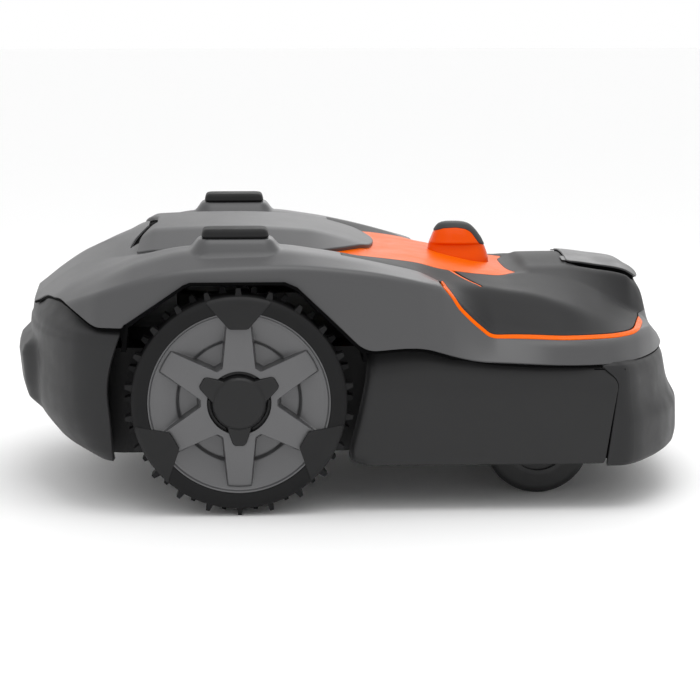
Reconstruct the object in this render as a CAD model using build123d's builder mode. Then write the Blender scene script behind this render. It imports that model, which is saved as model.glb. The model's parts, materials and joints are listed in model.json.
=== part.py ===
"""Robotic lawn mower: floating body shell on a wheeled chassis with a height-adjustable blade disc.

Frame: origin on the ground under the middle of the body, +X forward, +Y to the left, +Z up.
"""
import os
from math import cos, radians, sin

from build123d import *

os.makedirs("parts", exist_ok=True)

# ---------------------------------------------------------------- driving dimensions (mm)
AXLE_X = -137.5            # rear axle, from the middle of the overall length
AXLE_Z = 132.0             # rear axle height, the radius over the tread lugs
WALL = 3.5                 # moulded shell thickness
SEAM = 0.6                 # half the gap between two shell panels

TYRE_R = 124.0             # rear tyre, without its lugs
RIM_R = 104.5
WHEEL_OUT_Y = 290.0        # outer face of the rear wheels
WHEEL_IN_Y = 235.0         # inner face of the rear wheels
LUGS_PER_ROW = 22
HUB_R = 35.0

CASTER_X = AXLE_X + 387.0  # swivel axis of the front casters
CASTER_Y = 167.0
CASTER_R = 63.0
CASTER_TRAIL = 30.0
CASTER_HALF_WIDTH = 16.0

TUB_BOTTOM = 62.0
TUB_TOP = 182.0
TUB_WALL = 3.5
TUB_HALF_WIDTH = 218.0
TUB_LENGTH = 476.0
TUB_MID_X = AXLE_X + 48.0
TUB_CORNER = 60.0
NOSE_MID_X = AXLE_X + 340.0  # the tub's raised nose over the casters
NOSE_LENGTH = 200.0

CUTTER_X = AXLE_X + 150.0  # centre of the blade disc
DISC_Z = 45.0              # underside of the blade disc at the middle cutting height
DISC_R = 100.0
WELL_R = 136.0

RUN = 0.05                 # radial clearance of a shaft in its bore
CLEAR = 0.4                # gap between parts that pass each other


def save(part, name):
    """Label a finished piece and write it as its own STEP file."""
    part.label = name
    export_step(part, f"parts/{name}.step")


def ahead(points):
    """Side-view points given as (distance ahead of the rear axle, height) in the part's frame."""
    return [(AXLE_X + x, z) for x, z in points]


def turned(points, degrees):
    """Points of a flat outline turned about the origin."""
    c, s = cos(radians(degrees)), sin(radians(degrees))
    return [(x * c - y * s, x * s + y * c) for x, y in points]


SIDES = (("left", 1), ("right", -1))

# ---------------------------------------------------------------- body shell feature lines
# Each line runs from the tail to the nose: (distance ahead of the rear axle, half width, height).
CENTRE = [(-246, 0, 237), (-221, 0, 254), (-178, 0, 282), (-140, 0, 298), (-98, 0, 312),
          (0, 0, 313), (82, 0, 309), (132, 0, 298), (168, 0, 286), (240, 0, 275), (342, 0, 259),
          (358, 0, 267), (402, 0, 270), (443, 0, 266), (475, 0, 262), (488, 0, 255),
          (500, 0, 238), (510, 0, 195), (521, 0, 173)]
DECK_EDGE = [(-246, 60, 236), (-221, 80, 252), (-178, 90, 279), (-140, 90, 296), (-98, 92, 311),
             (0, 92, 312), (82, 92, 308), (132, 92, 296), (168, 95, 284), (240, 95, 272),
             (342, 75, 257), (358, 80, 259), (402, 82, 261), (443, 82, 256), (475, 82, 251),
             (488, 70, 242), (500, 55, 228), (510, 40, 192), (521, 20, 172.6)]
VALLEY = [(-246, 120, 232), (-221, 140, 246), (-178, 150, 268), (-140, 152, 280), (-98, 152, 288),
          (0, 150, 290), (82, 148, 288), (132, 146, 284), (208, 145, 275), (238, 145, 267),
          (292, 150, 256), (340, 140, 257), (378, 105, 256), (429, 102, 243), (466, 100, 219),
          (490, 95, 202), (510, 70, 188), (521, 42, 171.5)]
RIDGE_IN = [(-246, 150, 234), (-221, 170, 253), (-189, 185, 281), (-154, 188, 290), (-119, 190, 295),
            (-50, 192, 306), (42, 192, 306), (96, 190, 300), (143, 188, 290), (207, 186, 274),
            (241, 186, 257), (292, 190, 252), (331, 200, 246), (378, 200, 239), (429, 200, 223),
            (466, 160, 210), (490, 130, 200), (510, 90, 186), (521, 60, 170)]
RIDGE_OUT = [(-246, 175, 228), (-221, 205, 250), (-189, 225, 276), (-154, 232, 285), (-119, 236, 290),
             (-50, 238, 303), (42, 238, 303), (96, 236, 297), (143, 234, 288), (207, 232, 270),
             (233, 235, 262), (250, 225, 247), (262, 226, 232), (292, 226, 206), (340, 238, 203),
             (378, 248, 202), (429, 240, 201), (466, 212, 201), (490, 165, 199), (510, 110, 185),
             (521, 74, 168.4)]
OUTER_EDGE = [(-246, 185, 222), (-221, 226, 236), (-206, 240, 247), (-157, 268, 260), (-89, 276, 277),
              (-43, 277, 284), (59, 277, 287), (138, 272, 280), (207, 262, 267), (233, 248, 259),
              (250, 240, 243), (262, 240, 228), (292, 240, 200), (340, 256, 197), (378, 266, 196),
              (429, 258, 194), (466, 226, 194), (490, 180, 191), (510, 125, 180), (521, 84, 166.9)]
SIDE_FOOT = [(-246, 190, 205), (-221, 232, 205), (-157, 276, 205), (-89, 286, 200), (0, 288, 190),
             (145, 288, 182), (207, 282, 182), (251, 276, 180), (292, 276, 175), (370, 277, 170),
             (429, 270, 169), (466, 236, 169), (490, 190, 167), (510, 135, 166), (521, 90, 165)]
TOP_LINES = (CENTRE, DECK_EDGE, VALLEY, RIDGE_IN, RIDGE_OUT, OUTER_EDGE, SIDE_FOOT)
STATIONS = (-246, -221, -190, -157, -119, -89, -45, 0, 60, 98, 143, 168, 207, 240, 262, 292, 341,
            358, 378, 402, 429, 443, 466, 475, 490, 500, 510, 521)
TAIL_X = STATIONS[0]
NOSE_X = STATIONS[-1]
SHELL_FOOT = 150.0


def point_on(line, x):
    """Half width and height of a feature line at a distance ahead of the rear axle."""
    for (x0, y0, z0), (x1, y1, z1) in zip(line, line[1:]):
        if x <= x1:
            t = max(0.0, (x - x0) / (x1 - x0))
            return y0 + t * (y1 - y0), z0 + t * (z1 - z0)
    return line[-1][1:]


def half_section(x, depth):
    """Points of the shell's half section, moved inside the outer skin by the given depth."""
    points = []
    for line in TOP_LINES:
        near = [point_on(line, x + step) for step in (-depth, 0, depth)]
        width = min(y for y, z in near)
        points.append((max(0.0, width - depth) if line is not CENTRE else 0.0,
                       min(z for y, z in near) - depth))
    return points


def section_outline(x, depth, foot):
    """Closed outline of the whole section, down to a flat foot."""
    half = half_section(x, depth)
    half.append((half[-1][0], foot))
    return half + [(-y, z) for y, z in reversed(half[1:])]


with BuildPart() as shell_envelope:
    for station in STATIONS:
        with BuildSketch(Plane.YZ.offset(AXLE_X + station)):
            with BuildLine():
                Polyline(*section_outline(station, 0.0, SHELL_FOOT), close=True)
            make_face()
    loft(ruled=True)

with BuildPart() as shell_cavity:
    for station in STATIONS:
        inside_x = min(max(station, TAIL_X + WALL), NOSE_X - 2 * WALL)
        if inside_x != station and station not in (TAIL_X, NOSE_X):
            continue
        with BuildSketch(Plane.YZ.offset(AXLE_X + inside_x)):
            with BuildLine():
                Polyline(*section_outline(inside_x, WALL, SHELL_FOOT - 20), close=True)
            make_face()
    loft(ruled=True)

with BuildPart() as shell_skin:
    add(shell_envelope.part)
    add(shell_cavity.part, mode=Mode.SUBTRACT)

# ---------------------------------------------------------------- seams between the shell panels
REAR_SEAM = [(-320, 262), (-226, 263), (-222, 255), (-206, 255), (-198, 249), (-184, 232),
             (-170, 221), (-163, 218), (-131, 218)]
ARCH_EDGE = [(-129, 222), (-63, 266), (-55, 269), (53, 269), (67, 263), (145, 190)]
BAND_FOOT = [(145, 190), (191, 193), (214, 192), (251, 181), (277, 176), (369, 171), (600, 170)]
STRIPE_LINE = [(236, 264), (250, 247), (257, 235), (273, 219), (291, 204), (298, 202), (465, 201),
               (482, 208)]
STRIPE_HEIGHT = 4.0
WIDE = 700.0               # longer than the mower is wide, for cuts that pass right through

rear_zone = ahead(REAR_SEAM + [(-131, 20), (-320, 20)])
under_band_zone = ahead([(-131, 100), (-131, 222)] + ARCH_EDGE + BAND_FOOT[1:] + [(600, 100)])
hood_zone_side = ahead(STRIPE_LINE + [(482, 168), (600, 168), (600, 330), (236, 330)])
stripe_low = [(x, z - STRIPE_HEIGHT) for x, z in STRIPE_LINE[1:-1]]
stripe_zone = ahead(STRIPE_LINE[1:-1] + stripe_low[::-1])
deck_zone_plan = [(-112, -104), (95, -116), (140, -104), (160, -70), (167, 0),
                  (160, 70), (140, 104), (95, 116), (-112, 104)]
panel_zone_plan = [(100, -140), (243, -140), (292, -100), (328, -60), (328, 60), (292, 100),
                   (243, 140), (100, 140)]
arm_zone_plan = [(150, -183), (300, -183), (300, 183), (150, 183)]
lid_zone_plan = [(404, -80), (480, -80), (488, -60), (488, 60), (480, 80), (404, 80)]


def plan(points):
    """Plan-view points given as (distance ahead of the rear axle, y) in the part's frame."""
    return [(AXLE_X + x, y) for x, y in points]


def side_prism(points, grow=0.0):
    """Prism across the whole width over a side-view outline, grown by an offset."""
    with BuildPart() as prism:
        with BuildSketch(Plane.XZ.offset(-WIDE / 2)):
            with BuildLine():
                Polyline(*points, close=True)
            make_face()
            if grow:
                offset(amount=grow, kind=Kind.INTERSECTION)
        extrude(amount=WIDE)
    return prism.part


def plan_prism(points, grow=0.0, low=0.0, high=400.0):
    """Upright prism over a plan-view outline, grown by an offset."""
    with BuildPart() as prism:
        with BuildSketch(Plane.XY.offset(low)):
            with BuildLine():
                Polyline(*points, close=True)
            make_face()
            if grow:
                offset(amount=grow, kind=Kind.INTERSECTION)
        extrude(amount=high - low)
    return prism.part


deck_points = plan(deck_zone_plan)
panel_points = plan(panel_zone_plan)
lid_points = plan(lid_zone_plan)
nose_gap = side_prism(hood_zone_side, SEAM)
arms_gap = plan_prism(plan(arm_zone_plan), SEAM, low=200.0)
deck_gap = plan_prism(deck_points, SEAM, low=200.0)
panel_gap = plan_prism(panel_points, SEAM, low=200.0)
lid_gap = plan_prism(lid_points, SEAM, low=200.0)
under_band = side_prism(under_band_zone, SEAM)
behind_seam = side_prism(rear_zone, SEAM)
stripe_gap = side_prism(stripe_zone, SEAM)

# The finger slot behind the deck lid: a pocket let into the main cover.
SLOT_X = AXLE_X - 120.0
SLOT_LENGTH = 16.0
SLOT_HALF_WIDTH = 70.0
SLOT_FLOOR = 276.0

PAD_X = AXLE_X - 3.0
PAD_Y = 215.0
PAD_LENGTH = 77.7
PAD_WIDTH = 46.0
PAD_FOOT_Z = 314.0
PAD_TOP_Z = 326.0

MOUNT_X = (AXLE_X - 165.0, AXLE_X + 330.0)   # rear and front float mounts
MOUNT_Y = 118.0
MOUNT_R = 12.0
MOUNT_FOOT_Z = 200.0
MOUNT_TOPS = (246.0, 226.0)

LID_HINGE_X = AXLE_X + 400.0
LID_HINGE_Z = 266.0
LID_HINGE_HALF = 30.0      # half the length of the lid's hinge barrel
BARREL_R = 4.0
PIN_R = 1.6

KNOB_X = AXLE_X + 275.5
KNOB_LENGTH = 75.0
KNOB_WIDTH = 60.0
KNOB_GAP = 1.0
PLUNGER_R = 9.0

# bosses under the skin that rest on the float mounts
with BuildPart() as float_sockets:
    for x, top in zip(MOUNT_X, MOUNT_TOPS):
        with BuildSketch(Plane.XY.offset(top + 0.5)):
            with Locations(*[(x, side * MOUNT_Y) for _, side in SIDES]):
                Circle(MOUNT_R + 4)
        extrude(amount=60)
    add(shell_envelope.part, mode=Mode.INTERSECT)

with BuildPart() as main_cover:
    add(shell_skin.part)
    # plinths under the two top pads
    with Locations(*[(PAD_X, side * PAD_Y, PAD_FOOT_Z - 14) for _, side in SIDES]):
        Box(PAD_LENGTH + 8, PAD_WIDTH + 8, 28)
    # finger slot: a box-shaped pocket behind the deck lid
    with Locations((SLOT_X, 0, SLOT_FLOOR + 14)):
        Box(SLOT_LENGTH + 2 * WALL, 2 * (SLOT_HALF_WIDTH + WALL), 28 + 2 * WALL)
    add(float_sockets.part)
    with Locations((SLOT_X, 0, SLOT_FLOOR + WALL + 30)):
        Box(SLOT_LENGTH, 2 * SLOT_HALF_WIDTH, 60, mode=Mode.SUBTRACT)
    add([deck_gap, panel_gap, arms_gap, nose_gap, under_band, behind_seam, stripe_gap],
        mode=Mode.SUBTRACT)
save(main_cover.part, "main_cover")

with BuildPart() as hood:
    add(shell_skin.part)
    add(float_sockets.part)
    add(side_prism(hood_zone_side, -SEAM) + plan_prism(plan(arm_zone_plan), -SEAM, low=200.0),
        mode=Mode.INTERSECT)
    add([deck_gap, panel_gap, lid_gap, under_band, stripe_gap], mode=Mode.SUBTRACT)
    # lugs that hold the service lid's hinge pin, either side of a notch for the lid's barrel
    with Locations((LID_HINGE_X, 0, LID_HINGE_Z)):
        Cylinder(BARREL_R + CLEAR, 2 * LID_HINGE_HALF + 2, rotation=(90, 0, 0), mode=Mode.SUBTRACT)
    with Locations((LID_HINGE_X + BARREL_R / 2, 0, LID_HINGE_Z + BARREL_R)):
        Box(BARREL_R + 1, 2 * LID_HINGE_HALF + 2, 2 * BARREL_R, mode=Mode.SUBTRACT)
    with Locations(*[(LID_HINGE_X, side * (LID_HINGE_HALF + 4), LID_HINGE_Z - 5) for _, side in SIDES]):
        Box(8, 6, 12)
    with Locations((LID_HINGE_X, 0, LID_HINGE_Z)):
        Cylinder(PIN_R, 2 * LID_HINGE_HALF + 14, rotation=(90, 0, 0), mode=Mode.SUBTRACT)
save(hood.part, "hood")

with BuildPart() as deck_lid:
    add(shell_skin.part)
    add(plan_prism(deck_points, -SEAM, low=200.0), mode=Mode.INTERSECT)
save(deck_lid.part, "deck_lid")

with BuildPart() as orange_panel:
    add(shell_skin.part)
    add(plan_prism(panel_points, -SEAM, low=200.0) - plan_prism(deck_points, SEAM, low=200.0),
        mode=Mode.INTERSECT)
    with BuildSketch(Plane.XY.offset(200)):
        with Locations((KNOB_X, 0)):
            Rectangle(KNOB_LENGTH + 2 * KNOB_GAP, KNOB_WIDTH + 2 * KNOB_GAP)
    extrude(amount=120, mode=Mode.SUBTRACT)
save(orange_panel.part, "orange_panel")

with BuildPart() as service_lid:
    add(shell_skin.part)
    add(plan_prism(lid_points, -SEAM, low=200.0), mode=Mode.INTERSECT)
    with Locations((LID_HINGE_X, 0, LID_HINGE_Z)):
        Cylinder(BARREL_R, 2 * LID_HINGE_HALF, rotation=(90, 0, 0))
    with Locations((LID_HINGE_X + BARREL_R, 0, LID_HINGE_Z)):
        Box(6, 2 * LID_HINGE_HALF, 3)
    with Locations((LID_HINGE_X, 0, LID_HINGE_Z)):
        Cylinder(PIN_R + RUN, 2 * LID_HINGE_HALF + 10, rotation=(90, 0, 0), mode=Mode.SUBTRACT)
save(service_lid.part, "service_lid")

with BuildPart() as service_lid_pin:
    with Locations((LID_HINGE_X, 0, LID_HINGE_Z)):
        Cylinder(PIN_R, 2 * LID_HINGE_HALF + 14, rotation=(90, 0, 0))
save(service_lid_pin.part, "service_lid_pin")

TRAY_Z = 226.0
TRAY_FLOOR = 4.0
TRAY_HEIGHT = 10.0
TRAY_WALL = 3.0
SCREEN_X = AXLE_X + 455.0
SCREEN_LENGTH = 36.0
KEYPAD_X = AXLE_X + 422.0
KEYPAD_LENGTH = 18.0
CONSOLE_WIDTH = 76.0       # of the screen and of the keypad
KEY_PITCH = 14.0
KEY_R = 4.5
tray_points = plan([(408, -66), (470, -66), (476, -50), (476, 50), (470, 66), (408, 66)])
with BuildPart() as console_tray:
    add(plan_prism(tray_points, 0.0, low=TRAY_Z, high=TRAY_Z + TRAY_FLOOR))
    add(plan_prism(tray_points, 0.0, low=TRAY_Z, high=TRAY_Z + TRAY_HEIGHT)
        - plan_prism(tray_points, -TRAY_WALL, low=TRAY_Z, high=TRAY_Z + TRAY_HEIGHT))
save(console_tray.part, "console_tray")

with BuildPart() as display_screen:
    with Locations((SCREEN_X, 0, TRAY_Z + TRAY_FLOOR + 1.5)):
        Box(SCREEN_LENGTH, CONSOLE_WIDTH, 3)
    fillet(display_screen.edges().filter_by(Axis.Z), radius=3)
save(display_screen.part, "display_screen")

with BuildPart() as keypad:
    with Locations((KEYPAD_X, 0, TRAY_Z + TRAY_FLOOR + 1)):
        Box(KEYPAD_LENGTH, CONSOLE_WIDTH, 2)
    for place in (-2, -1, 0, 1, 2):
        with Locations((KEYPAD_X, place * KEY_PITCH, TRAY_Z + TRAY_FLOOR + 2.8)):
            Cylinder(KEY_R, 1.6)
save(keypad.part, "keypad")

with BuildPart() as accent_stripes:
    add(shell_skin.part)
    add(side_prism(stripe_zone), mode=Mode.INTERSECT)
save(accent_stripes.part, "accent_stripes")

# ---------------------------------------------------------------- bumpers and side skirts
def wrap_loft(outline, slices, root_x, depth=0.0):
    """Loft through plan outlines that wrap an end of the mower; each slice is (height, inset)."""
    reach = max(abs(x - root_x) for x, _ in outline)
    width = max(y for _, y in outline)
    with BuildPart() as wrap:
        for z, inset in slices:
            along = 1 - (inset + depth) / reach
            across = 1 - (0.25 * inset + depth) / width
            half = [(AXLE_X + root_x + (x - root_x) * along, y * across) for x, y in outline]
            with BuildSketch(Plane.XY.offset(z)):
                with BuildLine():
                    Polyline(*(half + [(x, -y) for x, y in half[::-1] if y > 0]), close=True)
                make_face()
        loft(ruled=True)
    return wrap.part


BUMPER_WALL = 8.0
REAR_ROOT = -131.0
REAR_PLAN = [(-131, 277), (-160, 276), (-185, 270), (-208, 256), (-228, 234), (-243, 203),
             (-256, 155), (-266, 85), (-272, 0)]
REAR_SLICES = [(62, 62), (73, 46), (85, 26), (99, 13), (122, 5), (144, 1), (180, 0), (195, 2),
               (207, 11), (222, 13), (245, 18), (256, 27), (263, 40)]
with BuildPart() as rear_bumper:
    add(wrap_loft(REAR_PLAN, REAR_SLICES, REAR_ROOT))
    add(wrap_loft(REAR_PLAN, [(50, 62)] + REAR_SLICES[1:-1] + [(257, 40)], REAR_ROOT, BUMPER_WALL),
        mode=Mode.SUBTRACT)
    add(side_prism(rear_zone, -SEAM), mode=Mode.INTERSECT)
    # the edge beside each rear wheel leans back towards the foot
    with BuildSketch(Plane.XZ.offset(-WIDE / 2)):
        with BuildLine():
            Polyline(*ahead([(-131, 224), (-134, 214), (-147, 180), (-153, 146), (-149, 112),
                             (-146, 50), (-100, 50), (-100, 224)]), close=True)
        make_face()
    extrude(amount=WIDE, mode=Mode.SUBTRACT)
save(rear_bumper.part, "rear_bumper")

FRONT_ROOT = 423.0
FRONT_PLAN = [(423, 277), (449, 277), (466, 262), (482, 240), (498, 216), (513, 187), (528, 148),
              (539, 90), (547, 0)]
FRONT_SLICES = [(56, 4), (69, 0), (104, 1), (116, 9), (128, 14), (158, 20), (168, 27)]
with BuildPart() as front_bumper:
    add(wrap_loft(FRONT_PLAN, FRONT_SLICES, FRONT_ROOT))
    add(wrap_loft(FRONT_PLAN, [(46, 4)] + FRONT_SLICES[1:-1] + [(180, 27)], FRONT_ROOT - 30,
                  BUMPER_WALL), mode=Mode.SUBTRACT)
    with BuildSketch(Plane.XZ.offset(-WIDE / 2)):
        with BuildLine():
            Polyline(*ahead([(380, 40), (423.6, 40), (438.6, 151), (418.6, 169), (418, 190),
                             (380, 190)]), close=True)
        make_face()
    extrude(amount=WIDE, mode=Mode.SUBTRACT)
save(front_bumper.part, "front_bumper")

SKIRT_OUT_Y = 277.0
SKIRT_EDGE = [(148, 187), (146, 160), (140, 130), (132.5, 99), (126, 75), (129, 63), (141, 56),
              (422.4, 56), (437.4, 151), (417.4, 168.6), (369, 169), (277, 174), (251, 179),
              (214, 190), (191, 191)]
SKIRT_WALL = 9.0
SKIRT_BEND_Z = 141.0       # above this height the skirt leans in
SKIRT_TOP_Z = 200.0
SKIRT_LEAN = 4.0           # how far it leans in at the top
RETURN_X = AXLE_X + 151.0  # wall that turns in behind the wheel arch
RETURN_DEPTH = 36.0
RETURN_HEIGHT = 100.0
RETURN_Z = 120.0
for label, side in SIDES:
    with BuildPart() as skirt:
        with BuildSketch(Plane.XZ.offset(-side * SKIRT_OUT_Y)):
            with BuildLine():
                Polyline(*ahead(SKIRT_EDGE), close=True)
            make_face()
        extrude(amount=side * SKIRT_WALL)
        with Locations((RETURN_X, side * (SKIRT_OUT_Y - RETURN_DEPTH / 2 - SKIRT_LEAN), RETURN_Z)):
            Box(6, RETURN_DEPTH, RETURN_HEIGHT)
        with BuildSketch(Plane.YZ.offset(-WIDE)):
            with BuildLine():
                Polyline((side * SKIRT_OUT_Y, SKIRT_BEND_Z), (side * (SKIRT_OUT_Y + 20), SKIRT_BEND_Z),
                         (side * (SKIRT_OUT_Y + 20), SKIRT_TOP_Z),
                         (side * (SKIRT_OUT_Y - SKIRT_LEAN), SKIRT_TOP_Z), close=True)
            make_face()
        extrude(amount=2 * WIDE, mode=Mode.SUBTRACT)
    save(skirt.part, f"side_skirt_{label}")

LINER_OUT_Y = 284.0
LINER_IN_Y = 229.0
LINER_BAND = [(-134, 192), (-128, 222), (-63, 267), (-55, 270), (53, 270), (67, 264), (145, 189),
              (145, 178)]
with BuildPart() as arch_liners:
    for _, side in SIDES:
        with BuildSketch(Plane.XZ.offset(-side * LINER_OUT_Y)):
            with BuildLine():
                Polyline(*ahead(LINER_BAND), close=True)
            make_face()
            with BuildLine():
                Polyline(*ahead([(x * 0.98, z - 2.5) for x, z in LINER_BAND[1:-1]]
                                + [(141, 170), (-130, 170)]), close=True)
            make_face(mode=Mode.SUBTRACT)
        extrude(amount=side * (LINER_OUT_Y - LINER_IN_Y))
    add(main_cover.part, mode=Mode.SUBTRACT)
save(arch_liners.part, "arch_liners")

# ---------------------------------------------------------------- top pads
with BuildPart() as top_pads:
    with Locations(*[(PAD_X, side * PAD_Y, (PAD_FOOT_Z + PAD_TOP_Z) / 2 + 0.1) for _, side in SIDES]):
        Box(PAD_LENGTH, PAD_WIDTH, PAD_TOP_Z - PAD_FOOT_Z - 0.2)
    fillet(top_pads.edges().filter_by(Axis.Z), radius=9)
    chamfer(top_pads.faces().sort_by(Axis.Z)[-1].edges(), length=3)
    chamfer(top_pads.faces().sort_by(Axis.Z)[-2].edges(), length=3)
save(top_pads.part, "top_pads")

# ---------------------------------------------------------------- stop button
KNOB_PROFILE = [(238, 256), (238, 276), (246, 299), (255, 306), (273, 308), (290, 305),
                (306, 286), (313, 266), (313, 256)]
with BuildPart() as knob:
    with BuildSketch(Plane.XZ.offset(-KNOB_WIDTH / 2)):
        with BuildLine():
            Polyline(*ahead(KNOB_PROFILE), close=True)
        make_face()
    extrude(amount=KNOB_WIDTH)
    fillet(knob.faces().sort_by(Axis.Z)[-1].edges().filter_by(Axis.Y, reverse=True), radius=8)
knob_cap_zone = side_prism(ahead([(246, 330), (247.5, 298), (257, 300), (273, 301), (287, 299),
                                  (300, 282), (320, 282), (320, 330)]))
with BuildPart() as stop_button:
    add(knob.part)
    add(knob_cap_zone, mode=Mode.SUBTRACT)
    # plunger that runs in the housing
    with Locations((KNOB_X, 0, 246)):
        Cylinder(PLUNGER_R, 22)
save(stop_button.part, "stop_button")

with BuildPart() as stop_button_cap:
    add(knob.part)
    add(knob_cap_zone, mode=Mode.INTERSECT)
save(stop_button_cap.part, "stop_button_cap")

with BuildPart() as stop_housing:
    with Locations((KNOB_X, 0, 235)):
        Box(60, 50, 12)
        Cylinder(PLUNGER_R + RUN, 30, mode=Mode.SUBTRACT)
    fillet(stop_housing.edges().filter_by(Axis.Z).group_by(SortBy.LENGTH)[-1], radius=2)
save(stop_housing.part, "stop_housing")

SPRING_R = 13.0
SPRING_WIRE_R = 1.0
SPRING_FOOT_Z = 241.0 + SPRING_WIRE_R + 0.1
SPRING_TURNS = 3
SPRING_RISE = 12.6
with BuildPart() as stop_spring:
    with BuildLine(Plane(origin=(KNOB_X, 0, SPRING_FOOT_Z))):
        coil = Helix(pitch=SPRING_RISE / SPRING_TURNS, height=SPRING_RISE, radius=SPRING_R)
    with BuildSketch(Plane(origin=coil @ 0, z_dir=coil % 0)):
        Circle(SPRING_WIRE_R)
    sweep()
save(stop_spring.part, "stop_spring")

# ---------------------------------------------------------------- chassis
NOSE_FLOOR = 146.0          # raised floor over the casters
BUSH_R = 15.0
STEM_R = 10.0
GEARBOX_R = 34.0
SNOUT_R = 24.0
AXLE_R = 9.0
CARRIAGE_R = 40.0
ROD_R = 5.0
ROD_Y = 56.0
SCREW_R = 5.0
SCREW_OFFSET = 60.0
WELL_HEIGHT = 64.0          # from the tub's underside to the top of the cutter well
WELL_TOP_Z = TUB_BOTTOM + WELL_HEIGHT
COVER_PLATE = 4.0
COVER_DOME = 14.0
COVER_DOME_X = AXLE_X + 60.0
BATTERY_X = AXLE_X - 108.0
BATTERY_SIZE = (150.0, 190.0, 60.0)
BOARD_SIZE = (140.0, 180.0, 2.0)
BOARD_Z = 140.0
ANTENNA_R = 46.0
ANTENNA_HEIGHT = 28.0
MOTOR_IN_Y = 128.0          # inner end of a drive motor
MOTOR_OUT_Y = 214.0
SNOUT_OUT_Y = 231.0
AXLE_IN_Y = 184.0           # inner end of a wheel's axle
with BuildPart() as chassis_tub:
    with BuildSketch(Plane.XY.offset(TUB_BOTTOM)):
        with Locations((TUB_MID_X, 0)):
            RectangleRounded(TUB_LENGTH, 2 * TUB_HALF_WIDTH, TUB_CORNER)
    extrude(amount=TUB_TOP - TUB_BOTTOM)
    with BuildSketch(Plane.XY.offset(NOSE_FLOOR)):
        with Locations((NOSE_MID_X, 0)):
            RectangleRounded(NOSE_LENGTH, 2 * TUB_HALF_WIDTH, TUB_CORNER)
    extrude(amount=TUB_TOP - NOSE_FLOOR)
    with BuildSketch(Plane.XY.offset(TUB_BOTTOM + TUB_WALL)):
        with Locations((TUB_MID_X, 0)):
            RectangleRounded(TUB_LENGTH - 2 * TUB_WALL, 2 * (TUB_HALF_WIDTH - TUB_WALL),
                             TUB_CORNER - TUB_WALL)
    extrude(amount=TUB_TOP, mode=Mode.SUBTRACT)
    with BuildSketch(Plane.XY.offset(NOSE_FLOOR + TUB_WALL)):
        with Locations((AXLE_X + 330, 0)):
            RectangleRounded(213, 2 * (TUB_HALF_WIDTH - TUB_WALL), 50)
    extrude(amount=TUB_TOP, mode=Mode.SUBTRACT)
    # the step between the low floor and the raised nose
    with Locations((AXLE_X + 284.25, 0, (TUB_BOTTOM + NOSE_FLOOR) / 2)):
        Box(TUB_WALL, 2 * (TUB_HALF_WIDTH - TUB_CORNER), NOSE_FLOOR - TUB_BOTTOM + TUB_WALL)
    # cutter well
    with BuildSketch(Plane.XY.offset(TUB_BOTTOM)):
        with Locations((CUTTER_X, 0)):
            Circle(WELL_R + TUB_WALL)
    extrude(amount=WELL_HEIGHT)
    with BuildSketch(Plane.XY.offset(TUB_BOTTOM)):
        with Locations((CUTTER_X, 0)):
            Circle(WELL_R)
    extrude(amount=WELL_HEIGHT - TUB_WALL, mode=Mode.SUBTRACT)
    with Locations((CUTTER_X, 0, TUB_BOTTOM)):
        Cylinder(CARRIAGE_R + CLEAR, 200, mode=Mode.SUBTRACT)
    # seats for the caster bushes and the gearbox snouts
    for _, side in SIDES:
        with BuildSketch(Plane.XY.offset(NOSE_FLOOR)):
            with Locations((CASTER_X, side * CASTER_Y)):
                Circle(BUSH_R + 4)
        extrude(amount=30)
        with Locations((CASTER_X, side * CASTER_Y, NOSE_FLOOR)):
            Cylinder(BUSH_R, 100, mode=Mode.SUBTRACT)
        with Locations((AXLE_X, side * TUB_HALF_WIDTH, AXLE_Z)):
            Cylinder(SNOUT_R, 20, rotation=(90, 0, 0), mode=Mode.SUBTRACT)
save(chassis_tub.part, "chassis_tub")

with BuildPart() as chassis_cover:
    with BuildSketch(Plane.XY.offset(TUB_TOP)):
        with Locations((TUB_MID_X, 0)):
            RectangleRounded(TUB_LENGTH, 2 * TUB_HALF_WIDTH, TUB_CORNER)
        with Locations((NOSE_MID_X, 0)):
            RectangleRounded(NOSE_LENGTH, 2 * TUB_HALF_WIDTH, TUB_CORNER)
    extrude(amount=COVER_PLATE)
    with BuildSketch(Plane.XY.offset(TUB_TOP + COVER_PLATE)):
        with Locations((COVER_DOME_X, 0)):
            RectangleRounded(420, 300, 40)
    extrude(amount=COVER_DOME, taper=20)
    with BuildSketch(Plane.XY.offset(TUB_TOP)):
        with Locations((COVER_DOME_X, 0)):
            RectangleRounded(405, 285, 34)
    extrude(amount=COVER_DOME, taper=20, mode=Mode.SUBTRACT)
    for x in MOUNT_X:
        for _, side in SIDES:
            with Locations((x, side * MOUNT_Y, (TUB_TOP + MOUNT_FOOT_Z - CLEAR) / 2)):
                Cylinder(MOUNT_R + 9, MOUNT_FOOT_Z - CLEAR - TUB_TOP)
save(chassis_cover.part, "chassis_cover")

with BuildPart() as float_mounts:
    for x, top in zip(MOUNT_X, MOUNT_TOPS):
        for _, side in SIDES:
            with BuildSketch(Plane.XY.offset(MOUNT_FOOT_Z)):
                with Locations((x, side * MOUNT_Y)):
                    Circle(MOUNT_R + 5)
            extrude(amount=5)
            with BuildSketch(Plane.XY.offset(MOUNT_FOOT_Z + 5)):
                with Locations((x, side * MOUNT_Y)):
                    Circle(MOUNT_R)
            extrude(amount=top - MOUNT_FOOT_Z - 5)
save(float_mounts.part, "float_mounts")

with BuildPart() as battery_pack:
    with Locations((BATTERY_X, 0, TUB_BOTTOM + TUB_WALL + BATTERY_SIZE[2] / 2 + 1)):
        Box(*BATTERY_SIZE)
    fillet(battery_pack.edges().filter_by(Axis.Z), radius=8)
save(battery_pack.part, "battery_pack")

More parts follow.
